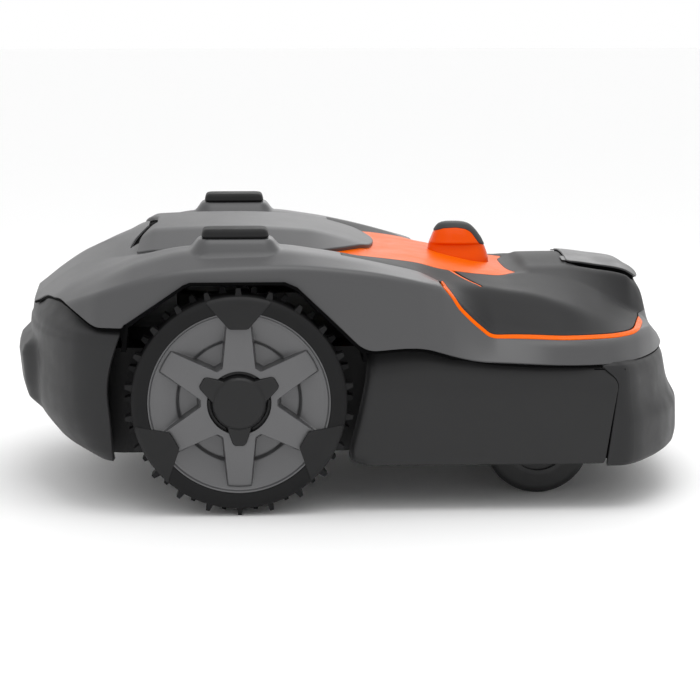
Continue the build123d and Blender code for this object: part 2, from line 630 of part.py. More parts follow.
with BuildPart() as main_board:
    with Locations((BATTERY_X, 0, BOARD_Z)):
        Box(*BOARD_SIZE)
    # a processor, a connector and a capacitor
    with Locations((BATTERY_X - 25, 40, BOARD_Z + 5)):
        Box(30, 30, 8)
    with Locations((BATTERY_X + 25, -50, BOARD_Z + 4)):
        Box(22, 36, 6)
    with Locations((BATTERY_X + 35, 55, BOARD_Z + 7)):
        Cylinder(9, 12)
save(main_board.part, "main_board")

with BuildPart() as antenna_module:
    with Locations((AXLE_X - 30, 0, TUB_TOP + COVER_PLATE + COVER_DOME + ANTENNA_HEIGHT / 2)):
        Cylinder(ANTENNA_R, ANTENNA_HEIGHT)
    fillet(antenna_module.faces().sort_by(Axis.Z)[-1].edges(), radius=8)
save(antenna_module.part, "antenna_module")

for label, side in SIDES:
    with BuildPart() as drive_motor:
        with BuildSketch(Plane.XZ.offset(-side * MOTOR_IN_Y)):
            with Locations((AXLE_X, AXLE_Z)):
                Circle(GEARBOX_R)
        extrude(amount=-side * (MOTOR_OUT_Y - MOTOR_IN_Y))
        with BuildSketch(Plane.XZ.offset(-side * MOTOR_OUT_Y)):
            with Locations((AXLE_X, AXLE_Z)):
                Circle(SNOUT_R)
        extrude(amount=-side * (SNOUT_OUT_Y - MOTOR_OUT_Y))
        with BuildSketch(Plane.XZ.offset(-side * (AXLE_IN_Y - 4))):
            with Locations((AXLE_X, AXLE_Z)):
                Circle(AXLE_R + RUN)
        extrude(amount=-side * 60, mode=Mode.SUBTRACT)
    save(drive_motor.part, f"drive_motor_{label}")

with BuildPart() as caster_bushes:
    for _, side in SIDES:
        with BuildSketch(Plane.XY.offset(NOSE_FLOOR - 3)):
            with Locations((CASTER_X, side * CASTER_Y)):
                Circle(BUSH_R)
                Circle(STEM_R + RUN, mode=Mode.SUBTRACT)
        extrude(amount=33)
save(caster_bushes.part, "caster_bushes")

with BuildPart() as guide_rods:
    for side in (1, -1):
        with BuildSketch(Plane.XY.offset(WELL_TOP_Z)):
            with Locations((CUTTER_X, side * ROD_Y)):
                Circle(ROD_R)
        extrude(amount=TUB_TOP + 6 - WELL_TOP_Z)
save(guide_rods.part, "guide_rods")

with BuildPart() as height_motor:
    with BuildSketch(Plane.XY.offset(WELL_TOP_Z)):
        with Locations((CUTTER_X + SCREW_OFFSET, 0)):
            Circle(12)
            Circle(SCREW_R + RUN, mode=Mode.SUBTRACT)
    extrude(amount=14)
save(height_motor.part, "height_motor")

with BuildPart() as height_screw:
    with BuildSketch(Plane.XY.offset(WELL_TOP_Z + 1)):
        with Locations((CUTTER_X + SCREW_OFFSET, 0)):
            Circle(SCREW_R)
    extrude(amount=66)
save(height_screw.part, "height_screw")

CONTACT_Z = 164.0
CONTACT_Y = 60.0
NOSE_FRONT_X = NOSE_MID_X + NOSE_LENGTH / 2
CONTACT_THICKNESS = 3.0
with BuildPart() as charging_contacts:
    for side in (1, -1):
        with Locations((NOSE_FRONT_X + CONTACT_THICKNESS / 2, side * CONTACT_Y, CONTACT_Z)):
            Box(CONTACT_THICKNESS, 34, 22)
save(charging_contacts.part, "charging_contacts")

# ---------------------------------------------------------------- cutting unit
FLANGE_Z = 162.0
FLANGE = 8.0                # thickness of the carriage's flange
CARRIAGE_Z = 70.0
CARRIAGE_WALL = 3.0
MOTOR_HEIGHT = 76.0
with BuildPart() as height_carriage:
    with BuildSketch(Plane.XY.offset(CARRIAGE_Z)):
        with Locations((CUTTER_X, 0)):
            Circle(CARRIAGE_R)
    extrude(amount=FLANGE_Z + FLANGE - CARRIAGE_Z)
    with BuildSketch(Plane.XY.offset(CARRIAGE_Z + CARRIAGE_WALL)):
        with Locations((CUTTER_X, 0)):
            Circle(CARRIAGE_R - CARRIAGE_WALL)
    extrude(amount=100, mode=Mode.SUBTRACT)
    with BuildSketch(Plane.XY.offset(FLANGE_Z)):
        with Locations((CUTTER_X, 0)):
            Circle(CARRIAGE_R + 3)
            Rectangle(24, 2 * ROD_Y + 22)
        with Locations((CUTTER_X + SCREW_OFFSET / 2 + 6, 0)):
            Rectangle(SCREW_OFFSET + 12, 24)
        with Locations((CUTTER_X, 0)):
            Circle(CARRIAGE_R - CARRIAGE_WALL, mode=Mode.SUBTRACT)
        with Locations((CUTTER_X, ROD_Y), (CUTTER_X, -ROD_Y)):
            Circle(ROD_R + RUN, mode=Mode.SUBTRACT)
        with Locations((CUTTER_X + SCREW_OFFSET, 0)):
            Circle(SCREW_R + RUN, mode=Mode.SUBTRACT)
    extrude(amount=FLANGE)
    with Locations((CUTTER_X, 0, CARRIAGE_Z)):
        Cylinder(12, 20, mode=Mode.SUBTRACT)
save(height_carriage.part, "height_carriage")

SHAFT_R = 5.0
with BuildPart() as blade_motor:
    with BuildSketch(Plane.XY.offset(CARRIAGE_Z + CARRIAGE_WALL)):
        with Locations((CUTTER_X, 0)):
            Circle(CARRIAGE_R - CARRIAGE_WALL)
            Circle(SHAFT_R + RUN, mode=Mode.SUBTRACT)
    extrude(amount=MOTOR_HEIGHT)
    fillet(blade_motor.faces().sort_by(Axis.Z)[-1].edges().group_by(SortBy.LENGTH)[-1], radius=6)
save(blade_motor.part, "blade_motor")

BLADE_COUNT = 3
BLADE_R = 84.0              # radius of the blade pivots
BLADE_PIN_R = 3.0
DISC_THICKNESS = 4.0
DISC_HOLES = 6
SKID_Z = 35.0
SKID_R = 74.0
SKID_THICKNESS = 3.0
with BuildPart() as cutting_disc:
    with BuildSketch(Plane.XY.offset(DISC_Z)):
        with Locations((CUTTER_X, 0)):
            Circle(DISC_R)
    extrude(amount=DISC_THICKNESS)
    with BuildSketch(Plane.XY.offset(DISC_Z + DISC_THICKNESS)):
        with Locations((CUTTER_X, 0)):
            Circle(34)
    extrude(amount=10, taper=20)
    with BuildSketch(Plane.XY.offset(DISC_Z)):
        with Locations((CUTTER_X, 0)):
            with PolarLocations(62, DISC_HOLES, start_angle=180 / DISC_HOLES):
                Circle(10)
    extrude(amount=DISC_THICKNESS, mode=Mode.SUBTRACT)
    with BuildSketch(Plane.XY.offset(DISC_Z)):
        with Locations((CUTTER_X, 0)):
            Circle(SHAFT_R)
            with PolarLocations(BLADE_R, BLADE_COUNT):
                Circle(BLADE_PIN_R)
    extrude(amount=20, mode=Mode.SUBTRACT)
save(cutting_disc.part, "cutting_disc")

with BuildPart() as disc_shaft:
    with BuildSketch(Plane.XY.offset(SKID_Z - 3)):
        with Locations((CUTTER_X, 0)):
            Circle(SHAFT_R)
    extrude(amount=110 - SKID_Z)
save(disc_shaft.part, "disc_shaft")

with BuildPart() as blade_screws:
    for place in range(BLADE_COUNT):
        turn = radians(place * 360 / BLADE_COUNT)
        with BuildSketch(Plane.XY.offset(DISC_Z - 3)):
            with Locations((CUTTER_X + BLADE_R * cos(turn), BLADE_R * sin(turn))):
                Circle(BLADE_PIN_R)
        extrude(amount=8)
        with BuildSketch(Plane.XY.offset(DISC_Z - 5)):
            with Locations((CUTTER_X + BLADE_R * cos(turn), BLADE_R * sin(turn))):
                Circle(BLADE_PIN_R + 2.5)
        extrude(amount=2)
save(blade_screws.part, "blade_screws")

for place in range(BLADE_COUNT):
    turn = place * 360 / BLADE_COUNT
    pivot = Plane(origin=(CUTTER_X + BLADE_R * cos(radians(turn)), BLADE_R * sin(radians(turn)),
                          DISC_Z - 1.7), x_dir=(cos(radians(turn)), sin(radians(turn)), 0))
    with BuildPart() as blade:
        with BuildSketch(pivot):
            with BuildLine():
                Polyline((-8, -8), (28, -8), (36, 0), (28, 8), (-8, 8), close=True)
            make_face()
            Circle(BLADE_PIN_R + RUN, mode=Mode.SUBTRACT)
        extrude(amount=1.0)
    save(blade.part, f"blade_{place + 1}")

with BuildPart() as skid_plate:
    with BuildSketch(Plane.XY.offset(SKID_Z)):
        with Locations((CUTTER_X, 0)):
            Circle(SKID_R)
            Circle(SHAFT_R + RUN, mode=Mode.SUBTRACT)
            with PolarLocations(46, DISC_HOLES):
                Circle(11, mode=Mode.SUBTRACT)
    extrude(amount=SKID_THICKNESS)
    with BuildSketch(Plane.XY.offset(SKID_Z + SKID_THICKNESS)):
        with Locations((CUTTER_X, 0)):
            Circle(14)
            Circle(SHAFT_R + RUN, mode=Mode.SUBTRACT)
    extrude(amount=4)
save(skid_plate.part, "skid_plate")

# ---------------------------------------------------------------- rear wheels
SPOKES = 6
WEB_Y = 262.0               # floor of the pockets between the spokes
FACE_Y = 287.0
INSERT_DEPTH = 5.0
RIM_IN_Y = WHEEL_IN_Y + 6.0
LUG_LENGTH = 22.0           # along the wheel's axis
LUG_WIDTH = 7.0
LUG_ROWS = (WHEEL_IN_Y + 2.0, WHEEL_IN_Y + 27.0)
HUB_CAP = 4.0               # thickness of the hub cap's flange


def wheel_plane(side, y):
    """Plane across a rear wheel at a distance from the mower's middle, facing outward."""
    return Plane(origin=(AXLE_X, side * y, AXLE_Z), x_dir=(1, 0, 0), z_dir=(0, side, 0))


def insert_outline():
    """The three rubber blocks let into the rim's edge."""
    block = [(86, -10.5), (116, -36), (126, -30), (126, 30), (116, 36), (86, 10.5)]
    with BuildSketch() as blocks:
        for turn in (90, 210, 330):
            with BuildLine():
                Polyline(*turned(block, turn), close=True)
            make_face()
        Circle(TYRE_R - 1, mode=Mode.INTERSECT)
    return blocks.sketch


# one pocket between two spokes, its depth along the wheel's own axis
with BuildPart() as spoke_pocket:
    with BuildSketch(Plane.XY.offset(WEB_Y)):
        with BuildLine():
            Polyline((46, -9), (78, -29), (78, 29), (46, 9), close=True)
        make_face()
    with BuildSketch(Plane.XY.offset(FACE_Y)):
        with BuildLine():
            Polyline((43, -12), (96, -36), (96, 36), (43, 12), close=True)
        make_face()
    loft(ruled=True)

for label, side in SIDES:
    blocks = insert_outline()
    pockets = [wheel_plane(side, 0).location * Rot(Z=turn * 360 / SPOKES) * spoke_pocket.part
               for turn in range(SPOKES)]
    with BuildPart() as wheel_inserts:
        with BuildSketch(wheel_plane(side, FACE_Y - 2)):
            add(blocks)
        extrude(amount=INSERT_DEPTH)
    save(wheel_inserts.part, f"wheel_inserts_{label}")

    with BuildPart() as tyre:
        with BuildSketch(wheel_plane(side, WHEEL_IN_Y)):
            Circle(TYRE_R)
            Circle(RIM_R, mode=Mode.SUBTRACT)
        extrude(amount=WHEEL_OUT_Y - WHEEL_IN_Y)
        chamfer(tyre.edges().filter_by(GeomType.CIRCLE).group_by(SortBy.LENGTH)[-1], length=5)
        for row, low in enumerate(LUG_ROWS):
            with BuildSketch(wheel_plane(side, low)):
                with PolarLocations(TYRE_R + 1, LUGS_PER_ROW, start_angle=row * 180 / LUGS_PER_ROW):
                    Rectangle(14, LUG_WIDTH)
            extrude(amount=LUG_LENGTH)
        add(wheel_inserts.part, mode=Mode.SUBTRACT)
    save(tyre.part, f"tyre_{label}")

    with BuildPart() as rim:
        with BuildSketch(wheel_plane(side, RIM_IN_Y)):
            Circle(RIM_R)
        extrude(amount=FACE_Y - RIM_IN_Y)
        # open back
        with BuildSketch(wheel_plane(side, WHEEL_IN_Y)):
            Circle(RIM_R - 6)
            Circle(24, mode=Mode.SUBTRACT)
        extrude(amount=WEB_Y - 4 - WHEEL_IN_Y, mode=Mode.SUBTRACT)
        add(pockets, mode=Mode.SUBTRACT)
        with BuildSketch(wheel_plane(side, WHEEL_IN_Y)):
            Circle(AXLE_R)
        extrude(amount=80, mode=Mode.SUBTRACT)
        add(wheel_inserts.part, mode=Mode.SUBTRACT)
    save(rim.part, f"rim_{label}")

    with BuildPart() as hub_cap:
        with BuildSketch(wheel_plane(side, FACE_Y)):
            Circle(HUB_R)
            for turn in (30, 150, 270):
                with BuildLine():
                    Polyline(*turned([(26, -14), (47, -6.5), (48, 0), (47, 6.5), (26, 14)], turn),
                             close=True)
                make_face()
        extrude(amount=HUB_CAP)
        with BuildSketch(wheel_plane(side, FACE_Y + HUB_CAP)):
            Circle(26)
        extrude(amount=2.5)
    save(hub_cap.part, f"hub_cap_{label}")

    with BuildPart() as wheel_axle:
        with BuildSketch(wheel_plane(side, AXLE_IN_Y)):
            Circle(AXLE_R)
        extrude(amount=FACE_Y - AXLE_IN_Y)
    save(wheel_axle.part, f"wheel_axle_{label}")

# ---------------------------------------------------------------- front casters
CASTER_AXLE_R = 5.0
CASTER_HUB_R = 40.0
FORK_GAP = CASTER_HALF_WIDTH + 2.0
FORK_PLATE = 4.0
CASTER_AXLE_X = CASTER_X - CASTER_TRAIL
FORK_TOP_Z = 138.0
FORK_CROWN_Z = 132.0
FORK_EYE_R = 11.0
STEM_TOP_Z = 180.0
for label, side in SIDES:
    middle = side * CASTER_Y
    with BuildPart() as caster_tyre:
        with BuildSketch(Plane.XZ.offset(-middle - CASTER_HALF_WIDTH)):
            with Locations((CASTER_AXLE_X, CASTER_R)):
                Circle(CASTER_R)
                Circle(CASTER_HUB_R, mode=Mode.SUBTRACT)
        extrude(amount=2 * CASTER_HALF_WIDTH)
        fillet(caster_tyre.edges().filter_by(GeomType.CIRCLE).group_by(SortBy.LENGTH)[-1], radius=9)
    save(caster_tyre.part, f"caster_tyre_{label}")

    with BuildPart() as caster_hub:
        with BuildSketch(Plane.XZ.offset(-middle - CASTER_HALF_WIDTH)):
            with Locations((CASTER_AXLE_X, CASTER_R)):
                Circle(CASTER_HUB_R)
                Circle(CASTER_AXLE_R + RUN, mode=Mode.SUBTRACT)
        extrude(amount=2 * CASTER_HALF_WIDTH)
        for face_y, out in ((middle + CASTER_HALF_WIDTH, 1), (middle - CASTER_HALF_WIDTH, -1)):
            with BuildSketch(Plane.XZ.offset(-face_y)):
                with Locations((CASTER_AXLE_X, CASTER_R)):
                    Circle(CASTER_HUB_R - 5)
                    Circle(12, mode=Mode.SUBTRACT)
            extrude(amount=out * 5, mode=Mode.SUBTRACT)
    save(caster_hub.part, f"caster_hub_{label}")

    with BuildPart() as caster_axle:
        with BuildSketch(Plane.XZ.offset(-middle - FORK_GAP - FORK_PLATE - 2)):
            with Locations((CASTER_AXLE_X, CASTER_R)):
                Circle(CASTER_AXLE_R)
        extrude(amount=2 * (FORK_GAP + FORK_PLATE + 2))
    save(caster_axle.part, f"caster_axle_{label}")

    with BuildPart() as caster_fork:
        for low in (-middle - FORK_GAP - FORK_PLATE, -middle + FORK_GAP):
            with BuildSketch(Plane.XZ.offset(low)):
                with Locations((CASTER_AXLE_X, CASTER_R)):
                    Circle(FORK_EYE_R)
                with BuildLine():
                    Polyline((CASTER_AXLE_X - FORK_EYE_R, CASTER_R),
                             (CASTER_AXLE_X + FORK_EYE_R, CASTER_R), (CASTER_X + 18, FORK_TOP_Z - 8),
                             (CASTER_X + 18, FORK_TOP_Z), (CASTER_X - 40, FORK_TOP_Z), close=True)
                make_face()
            extrude(amount=FORK_PLATE)
        with Locations((CASTER_X - 11, middle, (FORK_CROWN_Z + FORK_TOP_Z) / 2)):
            Box(58, 2 * (FORK_GAP + FORK_PLATE), FORK_TOP_Z - FORK_CROWN_Z)
        with BuildSketch(Plane.XY.offset(FORK_CROWN_Z)):
            with Locations((CASTER_X, middle)):
                Circle(18)
        extrude(amount=10)
        with BuildSketch(Plane.XY.offset(FORK_CROWN_Z + 10)):
            with Locations((CASTER_X, middle)):
                Circle(STEM_R)
        extrude(amount=STEM_TOP_Z - FORK_CROWN_Z - 10)
        with BuildSketch(Plane.XZ.offset(-middle - 40)):
            with Locations((CASTER_AXLE_X, CASTER_R)):
                Circle(CASTER_AXLE_R)
        extrude(amount=80, mode=Mode.SUBTRACT)
    save(caster_fork.part, f"caster_fork_{label}")
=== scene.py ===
"""Looks of the robotic lawn mower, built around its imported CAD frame.

The body shell is one master surface through a few feature lines. Each visible shell panel is a region
of that surface, trimmed to its outline, given a rounded edge and a wall, so that real gaps lie between
neighbours. Bumpers wrap the ends as swept profiles. Lines are in millimetres: distance ahead of the
rear axle, half width, height. Everything is converted to metres in the frame's own axes.
"""
import json
from math import cos, pi, radians, sin

import bpy
import numpy as np
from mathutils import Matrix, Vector


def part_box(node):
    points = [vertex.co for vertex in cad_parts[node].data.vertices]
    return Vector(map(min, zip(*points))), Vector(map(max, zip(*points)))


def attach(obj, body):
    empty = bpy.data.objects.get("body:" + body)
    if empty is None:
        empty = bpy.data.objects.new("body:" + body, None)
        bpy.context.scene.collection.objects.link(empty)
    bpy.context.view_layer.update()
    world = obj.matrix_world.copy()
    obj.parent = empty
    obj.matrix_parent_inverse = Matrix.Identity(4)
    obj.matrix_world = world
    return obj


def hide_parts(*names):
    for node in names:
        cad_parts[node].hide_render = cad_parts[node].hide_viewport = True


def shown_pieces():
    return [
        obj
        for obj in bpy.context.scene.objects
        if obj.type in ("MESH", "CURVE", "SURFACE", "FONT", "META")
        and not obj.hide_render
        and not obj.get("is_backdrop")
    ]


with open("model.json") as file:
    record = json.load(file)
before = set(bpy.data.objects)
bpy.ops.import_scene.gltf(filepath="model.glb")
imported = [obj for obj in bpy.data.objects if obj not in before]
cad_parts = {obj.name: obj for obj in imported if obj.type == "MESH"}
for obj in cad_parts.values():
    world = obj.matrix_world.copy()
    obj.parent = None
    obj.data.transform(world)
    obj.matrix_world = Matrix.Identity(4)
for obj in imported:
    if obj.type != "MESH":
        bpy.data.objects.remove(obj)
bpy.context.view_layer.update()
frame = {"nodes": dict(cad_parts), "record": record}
NODES = frame["nodes"]

MM = 0.001
axle_low, axle_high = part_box("rim_left")
AXLE_X = (axle_low[0] + axle_high[0]) / 2 / MM
AXLE_Z = (axle_low[2] + axle_high[2]) / 2 / MM
SIDES = (("left", 1), ("right", -1))


def place(points):
    """Millimetres ahead of the rear axle to metres in the frame."""
    points = np.asarray(points, float).copy()
    points[..., 0] += AXLE_X
    return points * MM


# ---------- camera, light and floor
CAMERA_YAW = radians(2.887)
CAMERA_PITCH = radians(9.154)
CAMERA_LENS = 123.43
CAMERA_PLACE = (AXLE_X * MM - 0.0094, -2.9823, 0.6275)
FLOOR_SIZE = 30
FLOOR_TONE = (0.97, 0.97, 0.97, 1)


def make_camera():
    data = bpy.data.cameras.new("camera")
    data.lens = CAMERA_LENS
    data.sensor_width = 36.0
    data.clip_end = 50
    camera = bpy.data.objects.new("camera", data)
    bpy.context.collection.objects.link(camera)
    camera.location = CAMERA_PLACE
    level = cos(CAMERA_PITCH)
    look = Vector((sin(CAMERA_YAW) * level, cos(CAMERA_YAW) * level, -sin(CAMERA_PITCH)))
    camera.rotation_euler = look.to_track_quat("-Z", "Y").to_euler()
    bpy.context.scene.camera = camera


def area_light(name, where, aim, size, power):
    data = bpy.data.lights.new(name, "AREA")
    data.energy = power
    data.size = size
    lamp = bpy.data.objects.new(name, data)
    bpy.context.collection.objects.link(lamp)
    lamp.location = where
    lamp.rotation_euler = (Vector(aim) - Vector(where)).to_track_quat("-Z", "Y").to_euler()


def make_studio():
    bpy.ops.mesh.primitive_plane_add(size=FLOOR_SIZE, location=(0, 0, 0))
    floor = bpy.context.object
    floor.name = "studio_floor"
    material = bpy.data.materials.new("studio_floor")
    material.use_nodes = True
    shader = material.node_tree.nodes["Principled BSDF"]
    shader.inputs["Base Color"].default_value = FLOOR_TONE
    shader.inputs["Roughness"].default_value = 0.6
    floor.data.materials.append(material)
    floor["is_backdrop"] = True
    world = bpy.data.worlds.new("studio")
    world.use_nodes = True
    sky = world.node_tree.nodes["Background"]
    sky.inputs["Color"].default_value = (1, 1, 1, 1)
    sky.inputs["Strength"].default_value = 1.0
    bpy.context.scene.world = world
    area_light("key_top", (0.1, -0.5, 2.2), (0, 0, 0.2), 1.6, 16)
    area_light("rim_back", (0.5, 1.7, 1.3), (0.1, 0, 0.25), 1.4, 7)
    bpy.context.scene.view_settings.view_transform = "Standard"


make_camera()
make_studio()


# ---------- curves and outlines
def smooth_line(points, x):
    """Monotone cubic through points sorted by their first value; returns the other values at x."""
    table = np.asarray(points, float)
    knots, values = table[:, 0], table[:, 1:]
    step = np.diff(knots)[:, None]
    slope = np.diff(values, axis=0) / step
    tangent = np.zeros_like(values)
    same = slope[:-1] * slope[1:] > 0
    weight_a = 2 * step[1:] + step[:-1]
    weight_b = step[1:] + 2 * step[:-1]
    with np.errstate(divide="ignore", invalid="ignore"):
        mean = (weight_a + weight_b) / (weight_a / slope[:-1] + weight_b / slope[1:])
    tangent[1:-1] = np.where(same, mean, 0.0)
    tangent[0], tangent[-1] = slope[0], slope[-1]
    x = np.clip(np.asarray(x, float), knots[0], knots[-1])
    i = np.clip(np.searchsorted(knots, x, side="right") - 1, 0, len(knots) - 2)
    h = step[i]
    t = ((x - knots[i]) / h[:, 0])[:, None]
    return ((2 * t**3 - 3 * t**2 + 1) * values[i] + (t**3 - 2 * t**2 + t) * h * tangent[i]
            + (-2 * t**3 + 3 * t**2) * values[i + 1] + (t**3 - t**2) * h * tangent[i + 1])


def bend(start, corner, end, t):
    """Curve that cuts a corner off; t runs from 0 at its start to 1 at its end."""
    return (1 - t) ** 2 * start + 2 * t * (1 - t) * corner + t * t * end


def rounded(points, radius, closed=True, steps=6):
    """Outline with every corner replaced by a small curve; radius may be one number or a list."""
    points = [np.asarray(p, float) for p in points]
    count = len(points)
    radii = radius if isinstance(radius, (list, tuple)) else [radius] * count
    out = []
    for i, corner in enumerate(points):
        if not closed and i in (0, count - 1):
            out.append(corner)
            continue
        before, after = points[i - 1] - corner, points[(i + 1) % count] - corner
        reach = min(radii[i], 0.48 * np.linalg.norm(before), 0.48 * np.linalg.norm(after))
        if reach <= 0:
            out.append(corner)
            continue
        start = corner + before / np.linalg.norm(before) * reach
        end = corner + after / np.linalg.norm(after) * reach
        out += [bend(start, corner, end, k / steps) for k in range(steps + 1)]
    return np.array(out)


def outline_distance(u, v, outline):
    """Signed distance from points to a closed outline, negative inside."""
    p = np.stack([u, v], -1).reshape(-1, 2)
    best = np.full(len(p), 1e18)
    inside = np.zeros(len(p), bool)
    loop = np.asarray(outline, float)
    for a, b in zip(loop, np.roll(loop, -1, axis=0)):
        edge = b - a
        length = edge @ edge
        if length < 1e-12:
            continue
        t = np.clip(((p - a) @ edge) / length, 0, 1)
        best = np.minimum(best, ((p - a - t[:, None] * edge) ** 2).sum(1))
        crosses = (a[1] > p[:, 1]) != (b[1] > p[:, 1])
        with np.errstate(divide="ignore", invalid="ignore"):
            at = a[0] + (p[:, 1] - a[1]) / (b[1] - a[1]) * (b[0] - a[0])
        inside ^= crosses & (p[:, 0] < at)
    distance = np.sqrt(best)
    distance[inside] *= -1
    return distance.reshape(np.shape(u))


def distance_from_side(grid, outline):
    """Signed distance of a surface's points to an outline seen from the side."""
    return outline_distance(grid[..., 0], grid[..., 2], outline)


# ---------- trimmed panels
def grid_normals(grid):
    """Unit normals of a grid of points, from the steps along its two directions."""
    du = np.gradient(grid, axis=0)
    dv = np.gradient(grid, axis=1)
    normal = np.cross(du, dv)
    size = np.linalg.norm(normal, axis=-1, keepdims=True)
    return normal / np.maximum(size, 1e-12)


PIECE_SLOTS = {}
SLIVER = 0.08              # grid points closer than this to an outline are taken as on it
EDGE_STEPS = 3             # rings of faces round a panel's rounded edge


def new_object(name, vertices, faces, body, slot, replaces=(), normals=None, sharp=None):
    """A piece from vertices in metres, smooth but for edges sharper than an angle in degrees."""
    mesh = bpy.data.meshes.new(name)
    mesh.from_pydata([tuple(v) for v in vertices], [], faces)
    mesh.polygons.foreach_set("use_smooth", [True] * len(mesh.polygons))
    mesh.update()
    if normals is not None:
        mesh.normals_split_custom_set_from_vertices([tuple(n) for n in normals])
    piece = bpy.data.objects.new(name, mesh)
    bpy.context.collection.objects.link(piece)
    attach(piece, body)
    PIECE_SLOTS[name] = slot
    if replaces:
        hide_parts(*replaces)
    if sharp:
        mesh.set_sharp_from_angle(angle=radians(sharp))


def trim(grid, normals, field):
    """Part of a grid where the field is negative, cut along its zero line.

    Returns vertices, their normals and the faces, all welded.
    """
    field = np.where(np.abs(field) < SLIVER, 0.0, field)
    points, point_normals, index = [], [], {}

    def corner(at):
        if at not in index:
            index[at] = len(points)
            points.append(grid[at])
            point_normals.append(normals[at])
        return index[at]

    def cut(a, b):
        key = (min(a, b), max(a, b))
        if key not in index:
            t = field[a] / (field[a] - field[b])
            index[key] = len(points)
            points.append(grid[a] * (1 - t) + grid[b] * t)
            point_normals.append(normals[a] * (1 - t) + normals[b] * t)
        return index[key]

    faces = []
    inside = field <= 0
    below = field < 0
    some = below[:-1, :-1] | below[1:, :-1] | below[:-1, 1:] | below[1:, 1:]
    for i, j in zip(*np.nonzero(some)):
        ring = [(i, j), (i + 1, j), (i + 1, j + 1), (i, j + 1)]
        face = []
        for k in range(4):
            a, b = ring[k], ring[(k + 1) % 4]
            if inside[a]:
                face.append(corner(a))
            if inside[a] != inside[b] and field[a] != 0 and field[b] != 0:
                face.append(cut(a, b))
        if len(face) >= 3:
            faces.append(face)
    return np.array(points), np.array(point_normals), faces


def boundary_edges(faces):
    """Edges that belong to only one face, in that face's direction."""
    seen = set()
    for face in faces:
        for k, a in enumerate(face):
            seen.add((a, face[(k + 1) % len(face)]))
    return [(a, b) for a, b in seen if (b, a) not in seen]


def solid_panel(points, normals, faces, wall, edge_radius):
    """Closed panel: the skin, a rounded edge, the wall's rim and the back face."""
    normals = normals / np.linalg.norm(normals, axis=1, keepdims=True)
    edges = boundary_edges(faces)
    outward = np.zeros_like(points)
    neighbours = {}
    for a, b in edges:
        side = np.cross(points[b] - points[a], normals[a] + normals[b])
        outward[a] += side
        outward[b] += side
        neighbours.setdefault(a, []).append(b)
        neighbours.setdefault(b, []).append(a)
    rim = sorted(neighbours)
    for _ in range(2):
        blurred = outward.copy()
        for v in rim:
            blurred[v] = outward[v] + 0.5 * sum(outward[n] for n in neighbours[v])
        outward = blurred
    out_dir = outward[rim]
    out_dir -= (out_dir * normals[rim]).sum(1, keepdims=True) * normals[rim]
    out_dir /= np.maximum(np.linalg.norm(out_dir, axis=1, keepdims=True), 1e-12)
    order = {v: k for k, v in enumerate(rim)}
    vertices, shading, rings = [points], [normals], [rim]
    total = len(points)
    turns = [pi / 2 * step / EDGE_STEPS for step in range(1, EDGE_STEPS + 1)]
    drops = [(sin(turn), 1 - cos(turn), cos(turn)) for turn in turns] + [(1.0, wall / edge_radius, 0.0)]
    for out, down, up in drops:
        vertices.append(points[rim] + edge_radius * (out * out_dir - down * normals[rim]))
        shading.append(out * out_dir + up * normals[rim])
        rings.append(list(range(total, total + len(rim))))
        total += len(rim)
    back = total
    vertices.append(points - wall * normals)
    shading.append(-normals)
    all_faces = [list(f) for f in faces]
    for upper, lower in zip(rings, rings[1:]):
        for a, b in edges:
            ka, kb = order[a], order[b]
            all_faces.append([upper[kb], upper[ka], lower[ka], lower[kb]])
    last = rings[-1]
    for a, b in edges:
        all_faces.append([last[order[b]], last[order[a]], back + a, back + b])
    all_faces += [[back + v for v in reversed(f)] for f in faces]
    return np.concatenate(vertices), all_faces, np.concatenate(shading)


def make_panel(name, grid, field, body, slot, replaces=(), wall=3.0, edge=0.9, lift=0.0):
    """A trimmed region of a surface as a closed panel.

    The field is in mm, negative inside. The lift moves the surface along its normals, as one number
    or as one for each grid point.
    """
    normals = grid_normals(grid)
    if np.any(lift):
        grid = grid + np.asarray(lift)[..., None] * normals
        normals = grid_normals(grid)
    points, point_normals, faces = trim(grid, normals, field)
    vertices, all_faces, shading = solid_panel(points, point_normals, faces, wall, edge)
    new_object(name, place(vertices), all_faces, body, slot, replaces, shading)


def divided(points, step):
    """An open polyline with extra points, so that none of its runs is longer than the step."""
    out = [points[0]]
    for a, b in zip(points, points[1:]):
        count = max(1, int(np.ceil(np.linalg.norm(np.subtract(b, a)) / step)))
        out += [a + (b - a) * k / count for k in range(1, count + 1)]
    return np.array(out)


def smoothstep(low, high, value):
    """Smooth rise from 0 at low to 1 at high."""
    t = np.clip((value - low) / (high - low), 0, 1)
    return t * t * (3 - 2 * t)


# ---------- the shell's master surface
# Feature lines from tail to nose: (ahead of the rear axle, half width, height).
CENTRE = [
    (-246, 0, 234), (-221, 0, 253), (-189, 0, 274), (-146, 0, 295), (-98, 0, 312), (0, 0, 313),
    (82, 0, 309), (132, 0, 298), (168, 0, 286), (240, 0, 275), (300, 0, 262), (337, 0, 256), (345, 0, 258),
    (357, 0, 266.5), (372, 0, 269), (402, 0, 270), (443, 0, 266), (470, 0, 262.5), (484, 0, 254),
    (497, 0, 246), (500, 0, 236), (504, 0, 214), (510, 0, 190), (521, 0, 173)]
DECK_EDGE = [
    (-246, 8, 233.5), (-221, 8, 252.5), (-189, 8, 273.5), (-168, 10, 284), (-143, 43, 291.5),
    (-112, 98, 303), (-98, 94, 309.5), (0, 92, 312), (82, 92, 308), (132, 92, 296), (168, 95, 284),
    (240, 95, 272), (300, 92, 259), (335, 78, 254), (346, 78, 256), (358, 80, 261), (402, 82, 261),
    (443, 82, 256), (475, 80, 250), (488, 66, 243), (500, 52, 228), (510, 36, 188), (521, 20, 172.6)]
